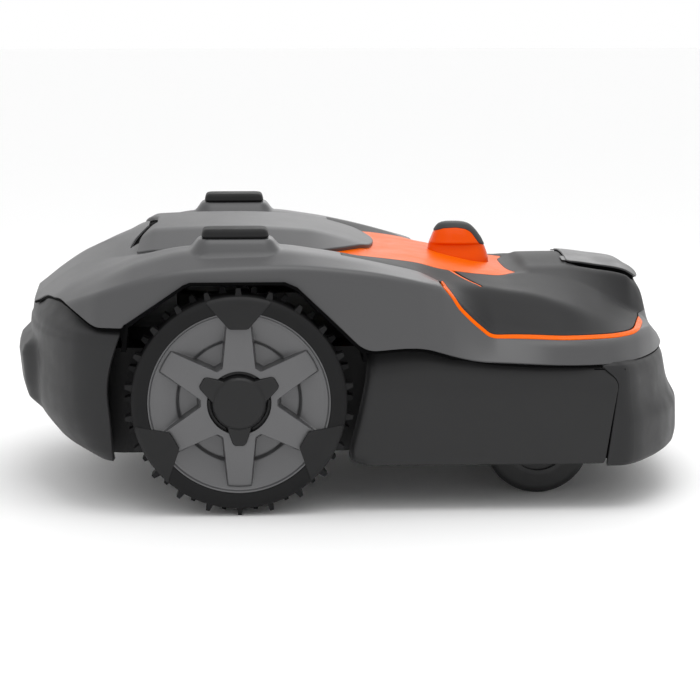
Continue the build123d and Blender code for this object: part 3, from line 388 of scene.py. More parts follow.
VALLEY = [
    (-246, 62, 229), (-221, 66, 249), (-186, 76, 270), (-164, 104, 277), (-137, 126, 282),
    (-120, 148, 287), (-98, 152, 288.5), (0, 150, 290), (82, 148, 288), (132, 146, 284), (208, 145, 275),
    (238, 143, 267), (292, 122, 257), (322, 105, 254), (347, 101, 256), (395, 114, 252), (435, 121, 237),
    (467, 109, 217), (492, 90, 203), (510, 62, 186), (521, 42, 171.5)]
RIDGE_IN = [
    (-246, 118, 221), (-221, 163, 238), (-201, 176, 252), (-179, 184, 263), (-154, 188, 275),
    (-137, 189, 282), (-119, 190, 290), (-50, 192, 304), (42, 192, 305), (96, 190, 298), (143, 188, 289),
    (207, 186, 273), (241, 183, 257), (292, 188, 249.5), (345, 199, 242), (385, 208, 231), (421, 204, 217),
    (466, 160, 207), (490, 130, 201), (510, 90, 184), (521, 60, 170)]
RIDGE_OUT = [
    (-246, 134, 217), (-221, 178, 235), (-201, 205, 244), (-179, 220, 256), (-154, 228, 269),
    (-137, 233, 277), (-119, 236, 285), (-50, 238, 301), (42, 238, 302), (96, 236, 296), (143, 234, 287),
    (207, 232, 270), (233, 234, 262), (250, 226, 248), (268, 226, 232), (300, 228, 208), (340, 238, 203),
    (378, 248, 202), (429, 238, 201), (466, 208, 200), (490, 165, 198), (510, 110, 183), (521, 74, 168.4)]
OUTER_EDGE = [
    (-246, 144, 211), (-221, 190, 229), (-201, 222, 238), (-179, 246, 248), (-157, 264, 257),
    (-119, 273, 269), (-89, 276, 277), (-43, 277, 283), (59, 277, 286), (138, 272, 280), (207, 262, 267),
    (233, 248, 258), (250, 240, 244), (268, 239, 228), (300, 244, 202), (340, 256, 197), (378, 266, 196),
    (429, 256, 194), (466, 222, 193), (490, 180, 190), (510, 125, 178), (521, 84, 166.9)]
SIDE_FOOT = [
    (-246, 150, 200), (-221, 198, 204), (-201, 232, 205), (-179, 256, 205), (-157, 274, 205),
    (-89, 286, 200), (0, 288, 190), (145, 288, 182), (207, 282, 182), (251, 276, 180), (292, 276, 175),
    (370, 277, 170), (429, 268, 169), (466, 232, 169), (490, 190, 167), (510, 135, 166), (521, 90, 165)]
# How far the surface bends on each side of a feature line.
LINE_SOFTNESS = ((CENTRE, 60), (DECK_EDGE, 9), (VALLEY, 5), (RIDGE_IN, 13), (RIDGE_OUT, 11),
                 (OUTER_EDGE, 7), (SIDE_FOOT, 0))
TAIL_X = CENTRE[0][0]
NOSE_X = CENTRE[-1][0]
SIDE_STEP = 4.0


def shell_stations():
    """Distances ahead of the axle where the surface has a section: closer where it turns fast."""
    spans = ((TAIL_X, -215, 2), (-215, -60, 3), (-60, 55, 2.5), (55, 230, 3), (230, 300, 1.5),
             (300, 480, 2.5), (480, NOSE_X, 1.25))
    stations = [np.arange(low, high, step) for low, high, step in spans]
    return np.append(np.concatenate(stations), NOSE_X)


def run_between(start, end, side_step, with_end):
    """Points on straight lines between two feature lines, without the first line itself."""
    count = max(2, int(np.ceil(np.linalg.norm(end - start, axis=1).max() / side_step)))
    t = (np.arange(1, count + with_end) / count)[None, :, None]
    return start[:, None] * (1 - t) + end[:, None] * t


def section_grid(lines, stations, side_step):
    """Grid over the whole shell: sections from the right foot over the top to the left foot."""
    half = [(np.column_stack([stations, smooth_line(line, stations)]), soft) for line, soft in lines]
    right = [(line * (1, -1, 1), soft) for line, soft in half[:0:-1]]
    chain = right + half
    columns = [chain[0][0][:, None]]
    previous = chain[0][0]
    for k in range(1, len(chain) - 1):
        corner, soft = chain[k]
        before = chain[k - 1][0] - corner
        after = chain[k + 1][0] - corner
        length_before = np.linalg.norm(before, axis=1, keepdims=True)
        length_after = np.linalg.norm(after, axis=1, keepdims=True)
        reach = np.minimum(soft, 0.45 * np.minimum(length_before, length_after))
        start = corner + before / length_before * reach
        end = corner + after / length_after * reach
        columns.append(run_between(previous, start, side_step, False))
        bends = max(6, int(soft / side_step) + 2)
        t = (np.arange(bends + 1) / bends)[None, :, None]
        columns.append(bend(start[:, None], corner[:, None], end[:, None], t))
        previous = end
    columns.append(run_between(previous, chain[-1][0], side_step, True))
    return np.concatenate(columns, axis=1)


shell = section_grid(LINE_SOFTNESS, shell_stations(), SIDE_STEP)
ahead, across, height = shell[..., 0], shell[..., 1], shell[..., 2]


# ---------- seams between the panels
def both_sides(outline):
    return [outline, [(x, -y) for x, y in outline]]


def symmetric_plan(side, radii, middle=(), middle_radius=()):
    """Rounded outline, seen from above, from the points and corner radii of its left half."""
    right = [(x, -y) for x, y in side]
    return rounded(right + list(middle) + side[::-1], radii + list(middle_radius) + radii[::-1])


GAP = 0.85                 # half the gap between two panels
# Outlines seen from above: ahead, half width.
DECK_PLAN = symmetric_plan([(-97, 30), (-116, 108), (-119, 146), (96, 146), (140, 112), (160, 72),
                            (168, 20)], [4, 6, 3, 30, 24, 24, 20])
PANEL_PLAN = symmetric_plan([(60, 142), (190, 141), (226, 137), (243, 139), (305, 112.5),
                             (322.5, 103), (340, 81), (331, 50)],
                            [4, 20, 12, 14, 20, 12, 4, 16], [(329, 0)], [30])
ARM_PLAN = symmetric_plan([(120, 213), (151, 210), (181, 206), (205, 198), (242, 191), (300, 186)],
                          [2, 12, 12, 12, 16, 2])
LID_PLAN = symmetric_plan([(405, 64), (478, 64), (490, 56), (497, 26)], [6, 10, 10, 20])
SLOT_PLAN = symmetric_plan([(-110, 22), (-130, 104), (-130, 112), (-116, 112), (-115, 106),
                            (-96, 28)], [2] * 6)
SLIT_SIDES = both_sides([(245, -127), (287, -183), (291, -180.5), (250, -114)])
TONGUE_SIDES = both_sides([(244, -129), (286.5, -184), (289, -181.5), (247.5, -121)])
# Outlines seen from the side: ahead, height.
REAR_SEAM = [(-320, 222), (-247, 224), (-238, 229), (-225, 238), (-208, 242), (-200, 240), (-184, 230),
             (-172, 222), (-163, 218), (-131, 218)]
REAR_ZONE = REAR_SEAM + [(-131, 20), (-320, 20)]
ARCH_EDGE = [(-129, 222), (-63, 266), (-55, 269), (53, 269), (67, 263), (145, 190)]
BAND_FOOT = [(145, 190), (191, 193), (214, 192), (251, 181), (277, 176), (369, 171), (600, 170)]
FOOT_ZONE = [(-131, 100), (-131, 222)] + ARCH_EDGE + BAND_FOOT[1:] + [(600, 100)]
STRIPE_LINE = [(233, 268), (250, 247), (257, 235), (273, 219), (291, 204), (298, 202), (465, 201),
               (482, 205), (620, 205)]
NOSE_ZONE = STRIPE_LINE + [(620, 340), (233, 340)]
rounded_foot = rounded(FOOT_ZONE, [2, 2, 2, 24, 24, 24, 24, 14] + [30] * 6 + [2, 2])
rounded_rear = rounded(REAR_ZONE, [2, 6, 6, 8, 6, 6, 8, 8, 8, 2, 2, 2])
rounded_nose = rounded(NOSE_ZONE, [2, 8, 8, 10, 10, 8, 20, 20, 2, 2, 2])

to_deck = outline_distance(ahead, across, DECK_PLAN)
to_panel = outline_distance(ahead, across, PANEL_PLAN)
to_arms = outline_distance(ahead, across, ARM_PLAN)
to_lid = outline_distance(ahead, across, LID_PLAN)
to_slit = np.minimum(*[outline_distance(ahead, across, rounded(slit, 1.5)) for slit in SLIT_SIDES])
to_rear = distance_from_side(shell, rounded_rear)
to_foot = distance_from_side(shell, rounded_foot)
to_nose = distance_from_side(shell, rounded_nose)

# ---------- shell panels
PAD_X, PAD_Y, PAD_FOOT_Z = -3.0, 215.0, 314.5
PAD_LENGTH, PAD_WIDTH = 77.7, 46.0
PLINTH_MARGIN, PLINTH_FLARE = 3.0, 13.0

DECK_PROUD = 2.0           # how far the deck lid stands above the cover
PANEL_SINK = 3.4           # how far the orange panel dips where it passes below the deck lid
PANEL_SINK_REACH = 50.0
PANEL_TUCK = 12.0          # how far it reaches below the deck lid

# The hood dips a little round the service lid, so that the lid stands proud of it.
HOOD_DIP = 3.0
HOOD_DIP_START, HOOD_DIP_END = 405, 425
HOOD_DIP_WIDTH = 16.0
LID_PROUD = 3.4
# Painted shade: a near-black band under the lid's edge.
LID_SHADE_WIDTH, LID_SHADE_INSET, LID_SHADE_DROP = 7.0, 0.6, 1.6
# Painted shade: a near-black ring sunk in the gap round the lid's opening.
LID_GAP_SHADE_INSIDE, LID_GAP_SHADE_OUTSIDE, LID_GAP_SHADE_DEPTH = 6.0, 5.0, 7.0
HINGE_LEAF = rounded([(400.3, 34), (410, 34), (410, 56), (400.3, 56)], 1)
LEAF_PROUD = 2.2

STRIPE_HEIGHT = 3.4
STRIPE_MARGIN = 0.5
STRIPE_START, STRIPE_END = 180.0, 487.0
STRIPE_TOP_Z = 257.5
STRIPE_PROUD = 0.5
TONGUE_SINK = 0.4

# Painted shade: a near-black sheet behind the upper seams, and a near-black strip along the cover's lower
# edge, thinner at the tail.
SHADE_SHEET_HALF, SHADE_SHEET_DEPTH, SHADE_SHEET_LID_MARGIN = 4.5, 4.2, 2.0
EDGE_SHADE_WIDTH, EDGE_SHADE_TUCK, EDGE_SHADE_SINK = 2.2, 4.0, 1.8
EDGE_SHADE_FADE = (-218, -196)


def rounded_rectangle(x, y, length, width, radius):
    a, b = length / 2, width / 2
    corners = [(x - a, y - b), (x + a, y - b), (x + a, y + b), (x - a, y + b)]
    return rounded(corners, radius, steps=8)


def raise_plinths():
    """Lifts the fender tops into flared plinths under the two rubber pads."""
    plan = rounded_rectangle(PAD_X, PAD_Y, PAD_LENGTH + PLINTH_MARGIN, PAD_WIDTH + PLINTH_MARGIN, 12)
    flare = 1 - smoothstep(0, PLINTH_FLARE, outline_distance(ahead, np.abs(across), plan))
    shell[..., 2] += np.maximum(PAD_FOOT_Z - height, 0) * flare


def make_cover():
    """The one moulding with both fenders, the rear deck and the lower bands."""
    beside_stripe = np.where(ahead < STRIPE_END, STRIPE_HEIGHT + STRIPE_MARGIN, GAP)
    field = np.maximum.reduce([beside_stripe - to_nose, GAP - to_arms, GAP - to_deck, GAP - to_panel,
                               GAP - to_rear, GAP - to_foot, -to_slot])
    make_panel("main_cover_panel", shell, field, "shell", "cover_grey", ["main_cover"])


def make_hood():
    field = np.maximum.reduce([np.minimum(to_nose, to_arms) + GAP, GAP - to_deck, GAP - to_panel,
                               GAP - to_lid, GAP - to_foot, -to_slit])
    dip = smoothstep(HOOD_DIP_START, HOOD_DIP_END, ahead) * (1 - smoothstep(0, HOOD_DIP_WIDTH, to_lid))
    make_panel("hood_panel", shell, field, "shell", "hood_grey", ["hood"], lift=-HOOD_DIP * dip)


def make_shade_sheets():
    """Painted shade: near-black sheets behind the seams and along the lower edge, and a near-black ring
    round the lid's opening.
    """
    to_seams = np.minimum.reduce([np.abs(to_deck), np.abs(to_panel), np.abs(to_arms), np.abs(to_nose),
                                  np.maximum(to_slot, 0)])
    field = np.maximum.reduce([to_seams - SHADE_SHEET_HALF, SHADE_SHEET_HALF - to_rear, SHADE_SHEET_HALF - to_foot,
                               SHADE_SHEET_HALF + SHADE_SHEET_LID_MARGIN - to_lid])
    make_panel("seam_shade_sheet", shell, field, "shell", "liner_black", wall=1.2, lift=-SHADE_SHEET_DEPTH)
    to_edge = np.minimum(to_rear, to_foot)
    width = EDGE_SHADE_WIDTH * smoothstep(*EDGE_SHADE_FADE, ahead)
    make_panel("cover_edge_shade_sheet", shell, np.maximum(-width - to_edge, to_edge - EDGE_SHADE_TUCK), "shell",
               "liner_black", wall=1.4, lift=-EDGE_SHADE_SINK)
    make_panel("service_lid_gap_shade", shell, np.maximum(to_lid - LID_GAP_SHADE_OUTSIDE, -LID_GAP_SHADE_INSIDE - to_lid),
               "shell", "liner_black", wall=2.5, lift=-LID_GAP_SHADE_DEPTH)


def make_deck():
    make_panel("deck_lid_panel", shell, to_deck + GAP, "deck_lid", "deck_grey", ["deck_lid"],
               wall=5.0, edge=2.0, lift=DECK_PROUD)
    make_panel("orange_top_panel", shell, np.maximum(to_panel + GAP, -PANEL_TUCK - to_deck), "shell",
               "panel_orange", ["orange_panel"],
               lift=-PANEL_SINK * (1 - smoothstep(0, PANEL_SINK_REACH, to_deck)))


def make_service_lid():
    """The lid with its hinge leaves and a near-black band of painted shade under the edge of its top."""
    make_panel("service_lid_panel", shell, to_lid + GAP, "service_lid", "lid_black", ["service_lid"],
               wall=2.0, edge=1.2, lift=LID_PROUD)
    make_panel("service_lid_leaves", shell, outline_distance(ahead, np.abs(across), HINGE_LEAF),
               "service_lid", "lid_black", wall=1.5, edge=0.5, lift=LEAF_PROUD)
    # painted shade: a near-black band just inside the lid's edge, below its top
    rim = np.maximum(to_lid + GAP + LID_SHADE_INSET, -LID_SHADE_WIDTH - to_lid)
    make_panel("service_lid_under_shade", shell, rim, "service_lid", "liner_black", wall=6.0, edge=0.8,
               lift=LID_PROUD - LID_SHADE_DROP)


def make_accents():
    """The orange line along each side of the hood, and the orange edge of each slit."""
    field = np.maximum.reduce([0.4 - to_nose, to_nose - STRIPE_HEIGHT + 0.2, ahead - STRIPE_END + 1,
                               height - STRIPE_TOP_Z, STRIPE_START - ahead])
    make_panel("accent_stripe_trim", shell, field, "shell", "orange_trim", ["accent_stripes"],
               wall=4.0, edge=0.8, lift=STRIPE_PROUD)
    for label, tongue in zip(("right", "left"), TONGUE_SIDES):
        make_panel(f"slit_trim_{label}", shell, outline_distance(ahead, across, tongue), "shell",
                   "orange_trim", wall=1.5, edge=0.5, lift=-TONGUE_SINK)


raise_plinths()
to_slot = outline_distance(ahead, across, SLOT_PLAN)
make_cover()
make_hood()
make_shade_sheets()
make_deck()
make_service_lid()
make_accents()


# ---------- bumpers
PLAN_STEP, PROFILE_STEP = 4.0, 3.0
SIDE_INSET_SHARE = 0.25    # how much of a profile's inset also narrows the bumper
LEAN_START_Z, LEAN_FULL_Z, LEAN_MOST = 207.0, 245.0, 1.2
DROP_START_Z, DROP_FULL_Z = 195, 250


def wrap_grid(plan_half, plan_soft, profile, profile_soft, root_x, backward, top_drop=0.0,
              corner_lean=0.0):
    """Surface that wraps one end of the mower.

    The plan outline starts at the side wall and ends on the centre line. The profile is a list of
    (inset, height), where an inset pulls the outline in towards the root.
    """
    whole = plan_half + [(x, -y) for x, y in plan_half[-2::-1]]
    if not backward:
        whole = whole[::-1]
    plan = divided(rounded(whole, plan_soft, closed=False), PLAN_STEP)
    rows = divided(rounded(profile, profile_soft, closed=False), PROFILE_STEP)
    reach = max(abs(x - root_x) for x, _ in plan_half)
    width = max(y for _, y in plan_half)
    inset, level = rows[:, 0][None], rows[:, 1][None]
    x = root_x + (plan[:, :1] - root_x) * (1 - inset / reach)
    lean = np.clip((level - LEAN_START_Z) / (LEAN_FULL_Z - LEAN_START_Z), 0, LEAN_MOST)
    y = plan[:, 1:] * (1 - SIDE_INSET_SHARE * inset / width) * (1 - corner_lean * lean**2)
    z = level - top_drop * smoothstep(DROP_START_Z, DROP_FULL_Z, level) + 0 * x
    return np.stack([x, y, z], -1)


REAR_ROOT = -131.0
REAR_GAP = 1.7
REAR_PLAN = [(-131, 277), (-160, 272), (-185, 257), (-205, 230), (-220, 201), (-233, 168),
             (-244, 124), (-252, 72), (-257, 0)]
REAR_PROFILE = [(62, 60), (42, 68), (31, 73), (13, 92), (3, 108), (0, 128), (0, 199), (2.6, 206),
                (3, 215), (4, 230), (6, 240), (10, 250), (15, 260), (30, 268)]
# The bulge across the middle of the rear bumper: height and depth, and where it fades sideways.
REAR_BULGE = [(100, 0), (112, 9), (130, 11.5), (165, 15), (175, 12), (182, 5), (187, 0)]
BULGE_FADE = (118, 150)
REAR_WHEEL_SIDE = rounded([(-131, 226), (-134, 214), (-147, 180), (-153, 146), (-149, 112),
                           (-146, 50), (-90, 50), (-90, 226)], [2, 4, 20, 20, 20, 6, 2, 2])
FRONT_ROOT = 423.0
FRONT_GAP = 2.2
FRONT_PLAN = [(403, 277), (449, 277), (466, 262), (482, 240), (498, 216), (513, 187), (528, 148),
              (539, 90), (547, 0)]
FRONT_PROFILE = [(10, 53), (4, 56), (0, 69), (1, 104), (9, 116), (14, 128), (20, 158), (27, 168),
                 (44, 172)]
SKIRT_FRONT = rounded([(380, 40), (422.4, 40), (437.4, 151), (417.4, 168.6), (417, 190), (380, 190)],
                      [2, 2, 8, 4, 2, 2])


def make_rear_bumper():
    grid = wrap_grid(REAR_PLAN, 14, REAR_PROFILE, 7, REAR_ROOT, True, top_drop=22.0, corner_lean=0.08)
    bulge = np.interp(grid[..., 2], *zip(*REAR_BULGE))
    grid[..., 0] -= bulge * (1 - smoothstep(*BULGE_FADE, np.abs(grid[..., 1])))
    below_cover = distance_from_side(grid, rounded_rear) + REAR_GAP
    behind_wheel = GAP - distance_from_side(grid, REAR_WHEEL_SIDE)
    make_panel("rear_bumper_panel", grid, np.maximum(below_cover, behind_wheel), "shell",
               "bumper_rubber", ["rear_bumper"], wall=5.0, edge=1.8)


def make_front_bumper():
    grid = wrap_grid(FRONT_PLAN, 12, FRONT_PROFILE, 6, FRONT_ROOT, False)
    field = FRONT_GAP - distance_from_side(grid, SKIRT_FRONT)
    make_panel("front_bumper_panel", grid, field, "shell", "bumper_rubber", ["front_bumper"],
               wall=5.0, edge=1.5)


make_rear_bumper()
make_front_bumper()


# ---------- side skirts
SKIRT_Y = 277.0
SKIRT_GAP = 0.9
SKIRT_BEND_Z, SKIRT_BEND_SOFTNESS, SKIRT_LEAN = 147.0, 9.0, 0.5
SKIRT_ROLL, SKIRT_ROLL_FULLNESS = 13.0, 0.92
SKIRT_REAR = [(148, 187), (146, 160), (140, 130), (132.5, 99), (126, 75), (128, 60), (141, 56)]
SKIRT_EDGE = rounded(SKIRT_REAR + [(422.4, 56), (437.4, 151), (417.4, 168.6), (369, 169), (277, 174),
                                   (251, 179), (214, 190), (191, 191)],
                     [4, 8, 14, 14, 14, 10, 14, 3, 8, 4, 30, 30, 20, 20, 8])
# Painted shade: a near-black strip behind the gap between each skirt and the front bumper.
GAP_SHADE_Y = 268.0


def upright_grid(x_low, x_high, z_low, z_high, step):
    """Even rows and columns of x and z over an upright rectangle."""
    return np.meshgrid(np.arange(x_low, x_high, step), np.arange(z_low, z_high, step), indexing="ij")


def facing_out(grid, side):
    """The same grid, with its normals pointing away from the middle of the mower."""
    return grid[::-1] if side > 0 else grid


def side_grid(x, y, z, side):
    """Surface on one side of the mower, with y measured outwards."""
    return facing_out(np.stack([x, side * y, z], -1), side)


def line_distance(u, v, line):
    """Distance from points to an open polyline."""
    best = np.full(np.shape(u), 1e9)
    for (ax, ay), (bx, by) in zip(line, line[1:]):
        ex, ey = bx - ax, by - ay
        t = np.clip(((u - ax) * ex + (v - ay) * ey) / (ex * ex + ey * ey), 0, 1)
        best = np.minimum(best, np.hypot(u - ax - t * ex, v - ay - t * ey))
    return best


def make_skirt(label, side):
    """A side skirt that leans in near its top and rolls in along its rear edge."""
    x, z = upright_grid(118, 444, 50, 197, 2.5)
    to_rear_edge = line_distance(x, z, rounded(SKIRT_REAR, 14, closed=False))
    depth = np.clip(SKIRT_ROLL - to_rear_edge, 0, SKIRT_ROLL)
    roll = SKIRT_ROLL - np.sqrt(SKIRT_ROLL**2 - depth**2 * SKIRT_ROLL_FULLNESS)
    above_bend = z - SKIRT_BEND_Z
    lean = SKIRT_LEAN * 0.5 * (above_bend + np.hypot(above_bend, SKIRT_BEND_SOFTNESS))
    grid = side_grid(x, SKIRT_Y - lean - roll, z, side)
    field = SKIRT_GAP + distance_from_side(grid, SKIRT_EDGE)
    make_panel(f"side_skirt_{label}_panel", grid, field, "shell", "skirt_grey",
               [f"side_skirt_{label}"], wall=4.0, edge=1.6)


def make_skirt_gap_shade(label, side):
    """Near-black strip of painted shade behind the gap between a skirt and the front bumper."""
    x, z = upright_grid(410, 449, 60, 166, 3.0)
    grid = side_grid(x, np.full(x.shape, GAP_SHADE_Y), z, side)
    make_panel(f"skirt_gap_shade_{label}", grid, np.full(x.shape, -1.0), "shell", "liner_black",
               wall=1.5, edge=0.3)


for label, side in SIDES:
    make_skirt(label, side)
    make_skirt_gap_shade(label, side)


# ---------- rear wheels
RIM_RADIUS, FACE_Y, BARREL_Y = 104.5, 287.0, 241.0
BARREL_RADIUS = 96.0
SPOKES = 6
SPOKE_HALVES = (18.5, 12.0)        # half width of a spoke at the hub and at the rim
SPOKE_WALL = 1.8
HUB_RADIUS, HUB_HOLE = 44.0, 37.0
# Depth of the dish between the spokes, and of the spokes themselves, at a radius.
RIM_LIP = [(102, 3.6), (102.8, 0.6), (103.6, 0), (110, 0)]
DISH_LINE = [(0, 21), (69.5, 21), (71.5, 15.5), (97.5, 6)] + RIM_LIP
SPOKE_LINE = [(0, 0), (44, 0.3), (95, 3.2), (97, 3.8), (98.5, 5.6)] + RIM_LIP
# Section of the tyre, as radius and distance from the middle of the mower.
TYRE_LINE = [(104.6, 243), (104.6, 288.2), (105.4, 289.6), (108, 290), (116, 289.8), (120, 288.6),
             (122.8, 286), (124, 281), (124, 244), (122.5, 239), (119, 236), (112, 235), (106, 236)]
# Two rows of lugs, as place across the tyre and turn in shares of the pitch. A lug's foot and head
# are given as radius, half width and half length.
LUG_ROWS = ((248.0, 0.0), (273.0, 0.5))
LUGS = 22
LUG_FOOT = (122.5, 4.0, 11.0)
LUG_HEAD = (131.6, 2.2, 8.6)
LUG_QUADS = [[3, 2, 1, 0], [4, 5, 6, 7]] + [[j, (j + 1) % 4, 4 + (j + 1) % 4, 4 + j] for j in range(4)]
INSERT_BLOCK = [(86, -10.5), (117, -37), (128, -32), (128, 32), (117, 37), (86, 10.5)]
INSERT_FACE = [(0, 290.8), (116, 290.8), (120, 289.8), (123, 287.2)]
INSERT_RADIUS = 122.4
INSERT_TURNS = (90, 210, 330)
HUB_CAP_RADIUS, HUB_CAP_Y = 37.6, 290.6
HUB_DISC, HUB_DISC_HEIGHT = (26.5, 31.5), 3.4
HUB_GROOVE_DEPTH = 9.0
HUB_ARM = [(20, -15), (31, -13.5), (47, -8.5), (50, -5.5), (50, 5.5), (47, 8.5), (31, 13.5), (20, 15)]
HUB_ARM_TURNS = (30, 150, 270)
HUB_ARM_END, HUB_ARM_FALL = 48, 1.6


def wheel_points(radius, turn, y, side):
    """Points of a rear wheel from polar coordinates about its axle."""
    radius, turn, y = np.broadcast_arrays(radius, turn, y)
    return np.stack([radius * np.cos(turn), side * y, AXLE_Z + radius * np.sin(turn)], -1)


def turned_distance(x, z, outline, softness, turns):
    """Distance to the nearest of several copies of an outline, turned about the axle."""
    best = np.full(x.shape, 1e9)
    for turn in turns:
        c, s = cos(radians(turn)), sin(radians(turn))
        copy = [(u * c - v * s, u * s + v * c) for u, v in outline]
        best = np.minimum(best, outline_distance(x, z, rounded(copy, softness)))
    return best


def lathe(line, side, count=144):
    """Vertices and faces of a closed ring with the given (radius, y) section."""
    turn = np.linspace(0, 2 * pi, count, endpoint=False)
    section = np.array(line, float)
    ring = wheel_points(section[None, :, 0], turn[:, None], section[None, :, 1], side)
    size = len(line)
    faces = []
    for i in range(count):
        for j in range(size):
            a, b = i * size + j, i * size + (j + 1) % size
            c, d = (i + 1) % count * size + (j + 1) % size, (i + 1) % count * size + j
            faces.append([a, d, c, b] if side > 0 else [a, b, c, d])
    return ring.reshape(-1, 3), faces


def make_rim(label, side):
    """The dished face between hub and tyre, and the barrel behind it."""
    turn = np.linspace(0, 2 * pi, 721)
    radius = np.unique(np.concatenate([np.linspace(HUB_HOLE, 96, 44), np.linspace(96, RIM_RADIUS, 16)]))
    r, a = np.meshgrid(radius, turn, indexing="ij")
    sector = 2 * pi / SPOKES
    from_spoke = np.abs((a + pi / 6 + sector / 2) % sector - sector / 2)
    beside = r * np.sin(from_spoke) - np.interp(r, (HUB_RADIUS, RIM_RADIUS), SPOKE_HALVES)
    pocket = smoothstep(0, SPOKE_WALL, beside) * smoothstep(HUB_RADIUS, HUB_RADIUS + 4, r)
    dish = np.interp(r, *zip(*DISH_LINE))
    spoke = np.interp(r, *zip(*SPOKE_LINE))
    grid = facing_out(wheel_points(r, a, FACE_Y - spoke * (1 - pocket) - dish * pocket, side), side)
    make_panel(f"rim_{label}_face", grid, np.full(r.shape, -1.0), f"wheel_{label}", "rim_grey",
               [f"rim_{label}"], wall=3.0, edge=0.3)
    section = [(BARREL_RADIUS, BARREL_Y), (RIM_RADIUS, BARREL_Y), (RIM_RADIUS, FACE_Y - 3),
               (BARREL_RADIUS, FACE_Y - 12)]
    vertices, faces = lathe(section, side)
    new_object(f"rim_{label}_barrel", place(vertices), faces, f"wheel_{label}", "rim_grey", sharp=35)


def make_inserts(label, side):
    """Three rubber blocks let into the edge of the rim and into the side of the tyre."""
    x, z = upright_grid(-124, 125, -124, 125, 1.6)
    radius = np.hypot(x, z)
    field = np.maximum(turned_distance(x, z, INSERT_BLOCK, 2.5, INSERT_TURNS), radius - INSERT_RADIUS)
    y = np.interp(radius, *zip(*INSERT_FACE))
    grid = side_grid(x, y, z + AXLE_Z, side)
    make_panel(f"wheel_inserts_{label}_blocks", grid, field, f"wheel_{label}", "insert_rubber",
               [f"wheel_inserts_{label}"], wall=5.0, edge=0.7)


def make_hub_cap(label, side):
    """Cap with a raised disc and three arms, and a deep groove between the arms."""
    x, z = upright_grid(-52, 52.5, -52, 52.5, 0.9)
    radius = np.hypot(x, z)
    to_arm = turned_distance(x, z, HUB_ARM, 2, HUB_ARM_TURNS)
    field = np.minimum(radius - HUB_CAP_RADIUS, to_arm)
    disc = 1 - smoothstep(*HUB_DISC, radius)
    groove = smoothstep(HUB_DISC[1] - 1, HUB_DISC[1] + 1, radius) * smoothstep(-1.0, 1.0, to_arm)
    fall = smoothstep(HUB_DISC[1], HUB_ARM_END, radius)
    y = HUB_CAP_Y + HUB_DISC_HEIGHT * disc - HUB_GROOVE_DEPTH * groove - HUB_ARM_FALL * fall
    grid = side_grid(x, y, z + AXLE_Z, side)
    make_panel(f"hub_cap_{label}_face", grid, field, f"wheel_{label}", "hub_black",
               [f"hub_cap_{label}"], wall=4.0, edge=1.4)


def make_tyre(label, side):
    """The tyre's body with two rows of lugs, which taper towards their heads."""
    vertices, faces = lathe(TYRE_LINE, side)
    vertices = list(vertices)
    for middle, phase in LUG_ROWS:
        for k in range(LUGS):
            turn = 2 * pi * (k + phase) / LUGS
            first = len(vertices)
            for radius, half_width, half_length in (LUG_FOOT, LUG_HEAD):
                for u, v in ((-1, -1), (1, -1), (1, 1), (-1, 1)):
                    at = turn + u * half_width / radius
                    vertices.append(wheel_points(radius, at, middle + v * half_length, side))
            for quad in LUG_QUADS:
                order = quad[::-1] if side > 0 else quad
                faces.append([first + j for j in order])
    new_object(f"tyre_{label}_tread", place(np.array(vertices)), faces, f"wheel_{label}",
               "tyre_rubber", [f"tyre_{label}"], sharp=30)


for label, side in SIDES:
    make_rim(label, side)
    make_inserts(label, side)
    make_hub_cap(label, side)
    make_tyre(label, side)


# ---------- pads and stop knob
def ring_stack(name, rings, body, slot, replaces=()):
    """Closed skin through rings of equally many points, from the lowest ring to the top one."""
    rings = [np.asarray(ring, float) for ring in rings]
    count = len(rings[0])
    faces = [list(range(count))[::-1]]
    for level in range(len(rings) - 1):
        low, high = level * count, (level + 1) * count
        faces += [[low + k, low + (k + 1) % count, high + (k + 1) % count, high + k]
                  for k in range(count)]
    faces.append([(len(rings) - 1) * count + k for k in range(count)])
    new_object(name, place(np.concatenate(rings)), faces, body, slot, replaces, sharp=35)


# Side of a rubber pad: height above its foot, and how far the ring there is pulled in.
PAD_PROFILE = [(-1, 3.0), (0.3, 2.2), (1.2, 0.8), (3.0, 0.0), (7.2, 1.0), (9.2, 1.9), (10.8, 3.6),
               (11.4, 6.2)]
PAD_CORNER = 11


def make_pad(label, side, replaces):
    rings = []
    for above_foot, inset in PAD_PROFILE:
        plan = rounded_rectangle(PAD_X, side * PAD_Y, PAD_LENGTH - 2 * inset, PAD_WIDTH - 2 * inset,
                                 PAD_CORNER - 0.5 * inset)
        rings.append(np.column_stack([plan, np.full(len(plan), PAD_FOOT_Z + above_foot)]))
    ring_stack(f"top_pad_{label}", rings, "shell", "pad_rubber", replaces)


make_pad("left", 1, ["top_pads"])
make_pad("right", -1, [])

